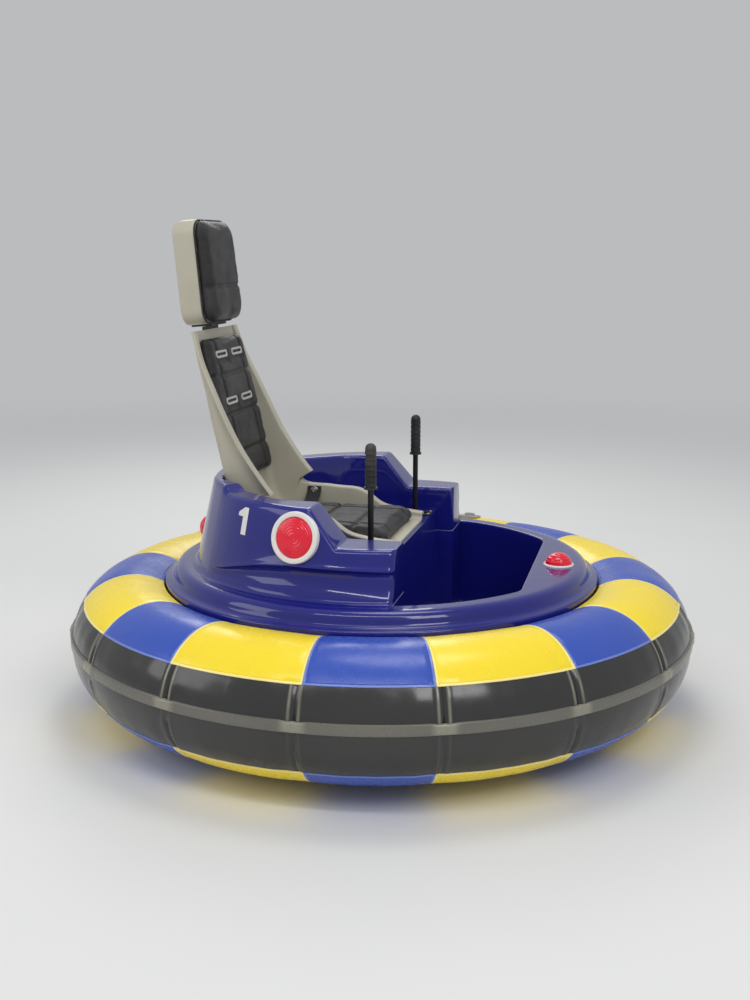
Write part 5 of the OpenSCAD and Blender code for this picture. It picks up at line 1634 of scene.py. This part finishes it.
def strap(name, path, width, thick):
    """A flat band of webbing along a path that runs across the car, with thin rounded edges."""
    path = np.asarray(path, float)
    along = np.gradient(path, axis=0)
    along /= np.linalg.norm(along, axis=1, keepdims=True)
    across = np.array([1.0, 0.0, 0.0])
    share = np.linspace(-1, 1, 11)
    thickness = np.sqrt(np.clip(1 - np.abs(share) ** 6, 0, 1))
    upper = [(u * width / 2, v * thick / 2) for u, v in zip(share, thickness)]
    ring = upper + [(u, -v) for u, v in upper[-2:0:-1]]
    rows = [[p + across * u + n * v for u, v in ring] for p, n in zip(path, np.cross(along, across))]
    return stack_piece(name, rows, "webbing", 50.0)


BELT_T = 0.0024
for name, side in SIDES.items():
    low = belt_low.z + BELT_T / 2
    corners = [
        (BELT_X, side * (belt_low.y + 0.0005), low), (BELT_X, side * 0.150, low),
        (BELT_X, side * (belt_high.y - 0.004), belt_low.z + 0.026),
        (BELT_X, side * (belt_high.y - BELT_T / 2), belt_high.z),
    ]
    belt = strap("lap_belt_" + name, soft_path(corners, 0.022), BELT_W, BELT_T)
    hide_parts("belt_" + name)
    fold = [(BELT_X, side * (belt_low.y + far), low + BELT_T * 0.95) for far in (0.001, 0.02, 0.045)]
    strap("belt_fold_" + name, fold, BELT_W * 0.98, BELT_T * 0.9)

# %% Belt anchors
ANCHOR_DOWN = 0.013
anchor_y = belt_high.y - BELT_T - 0.0004
anchor_spots = [((BELT_X, side * anchor_y, belt_high.z - ANCHOR_DOWN), (0, -side, 0)) for side in (-1, 1)]
bolts("belt_anchor", anchor_spots, 0.020, 0.0145)

# %% Buckle
buckle_low, buckle_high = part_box("belt_buckle")
long, wide, tall = buckle_high - buckle_low
buckle_middle = (buckle_low + buckle_high) / 2
buckle_frame = Matrix.Translation((buckle_middle.x, buckle_middle.y, buckle_low.z))
face_z = tall - 0.0016
levels = [(0.004, 0.0)] + edge_levels(0.0, face_z, 0.0032)[1:] + [(0.0075, face_z), (0.0085, tall - 0.0028)]
outline = rounded_outline(long, wide, 0.008, 6)
housing = stacked("buckle_housing", outline, levels, buckle_frame, "buckle_plastic")
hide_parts("belt_buckle")
button_levels = edge_levels(tall - 0.004, tall, 0.0012)
# Painted light: the button shares the lamps' glowing red finish, so it glows faintly though it is no lamp.
stacked("buckle_button", rounded_outline(0.022, 0.026, 0.004, 5), button_levels, buckle_frame, "lamp_red")

# %% [markdown]
# ## Stitches
# The cushions' channels are sewn, with a row of stitches on each side of the seam. The seam lines are
# laid on the finished pads, and a geometry tree turns each line into evenly spaced stitches.

# %% Stitch rule
SEAM_GAP = 0.0065
stitch = small_part("stitch", [(0.05, -0.5), (0.12, -0.4), (0.14, 0.0), (0.12, 0.4), (0.05, 0.5)], 6)
stitch_rule = Pattern("stitches_along_lines", Pitch="Float", Length="Float")
line = stitch_rule.node("GeometryNodeMeshToCurve", {}, {0: stitch_rule.value("Geometry")})
spacing = {"Curve": line, "Length": stitch_rule.value("Pitch")}
spaced = stitch_rule.node("GeometryNodeResampleCurve", {"mode": "LENGTH"}, spacing)
tangent = stitch_rule.node("GeometryNodeInputTangent", {}, {})
stitch_rule.close(spaced, tangent, stitch_rule.value("Length"))


def sew(name, pad, lines):
    """Stitches along lines, each of which is laid on the nearest surface of a pad."""
    faces = [list(face.vertices) for face in pad.data.polygons]
    tree = BVHTree.FromPolygons([vertex.co for vertex in pad.data.vertices], faces)
    points, edges = [], []
    for path in lines:
        start = len(points)
        for place in path:
            spot, normal, _, _ = tree.find_nearest(Vector(place))
            points.append(spot + normal * 0.0002)
        edges += [(k, k + 1) for k in range(start, len(points) - 1)]
    values = {"Part": stitch, "Pitch": 0.0062, "Length": 0.0044}
    return stitch_rule.grow(name, plain_mesh("seam_lines", points, [], edges), "webbing", values)


def both_sides(seam_places):
    """The places of the two rows of stitches beside each seam."""
    return [(place, place + off) for place in seam_places for off in (-SEAM_GAP, SEAM_GAP)]


def back_place(y, up):
    """A place in front of the back cushion."""
    return back_foot + back_up * up + back_out * (SEAT_T + BACK_PAD_T + 0.004) + np.array([0, y, 0])


# %% Seams of the three pads
HALF_AT = [0, 0.0886, 0.214, 0.281, 0.348, 0.443]
HALF_WIDTHS = [0.190, 0.190, 0.190, 0.184, 0.176, 0.160]
lines = []
for channel, up in both_sides(BACK_CHANNELS):
    wide = float(np.interp(channel, HALF_AT, HALF_WIDTHS)) - 0.026
    lines.append([back_place(y, up) for y in np.linspace(-wide, wide, 60)])
for _, y in both_sides(BACK_LINES):
    lines.append([back_place(y, up) for up in np.linspace(0.012, 0.412, 80)])
sew("back_stitches", back_pad, lines)

z = pan_low + PAN_PAD_T
xs = np.linspace(BELT_X + 0.038, FOOT_X + 0.93 * PAN_L, 60)
lines = [[(x, y, z) for y in np.linspace(-0.168, 0.168, 70)] for _, x in both_sides(PAN_CHANNELS)]
lines += [[(x, y, z) for x in xs] for _, y in both_sides(PAN_LINES)]
sew("seat_stitches", pan_pad, lines)

lines = []
for _, up in both_sides([REST_SEAM_UP]):
    middle = rest_foot + rest_up * up + rest_out * (REST_T + 0.034)
    lines.append([middle + np.array([0, y, 0]) for y in np.linspace(-0.108, 0.108, 50)])
sew("headrest_stitches", rest_pad, lines)
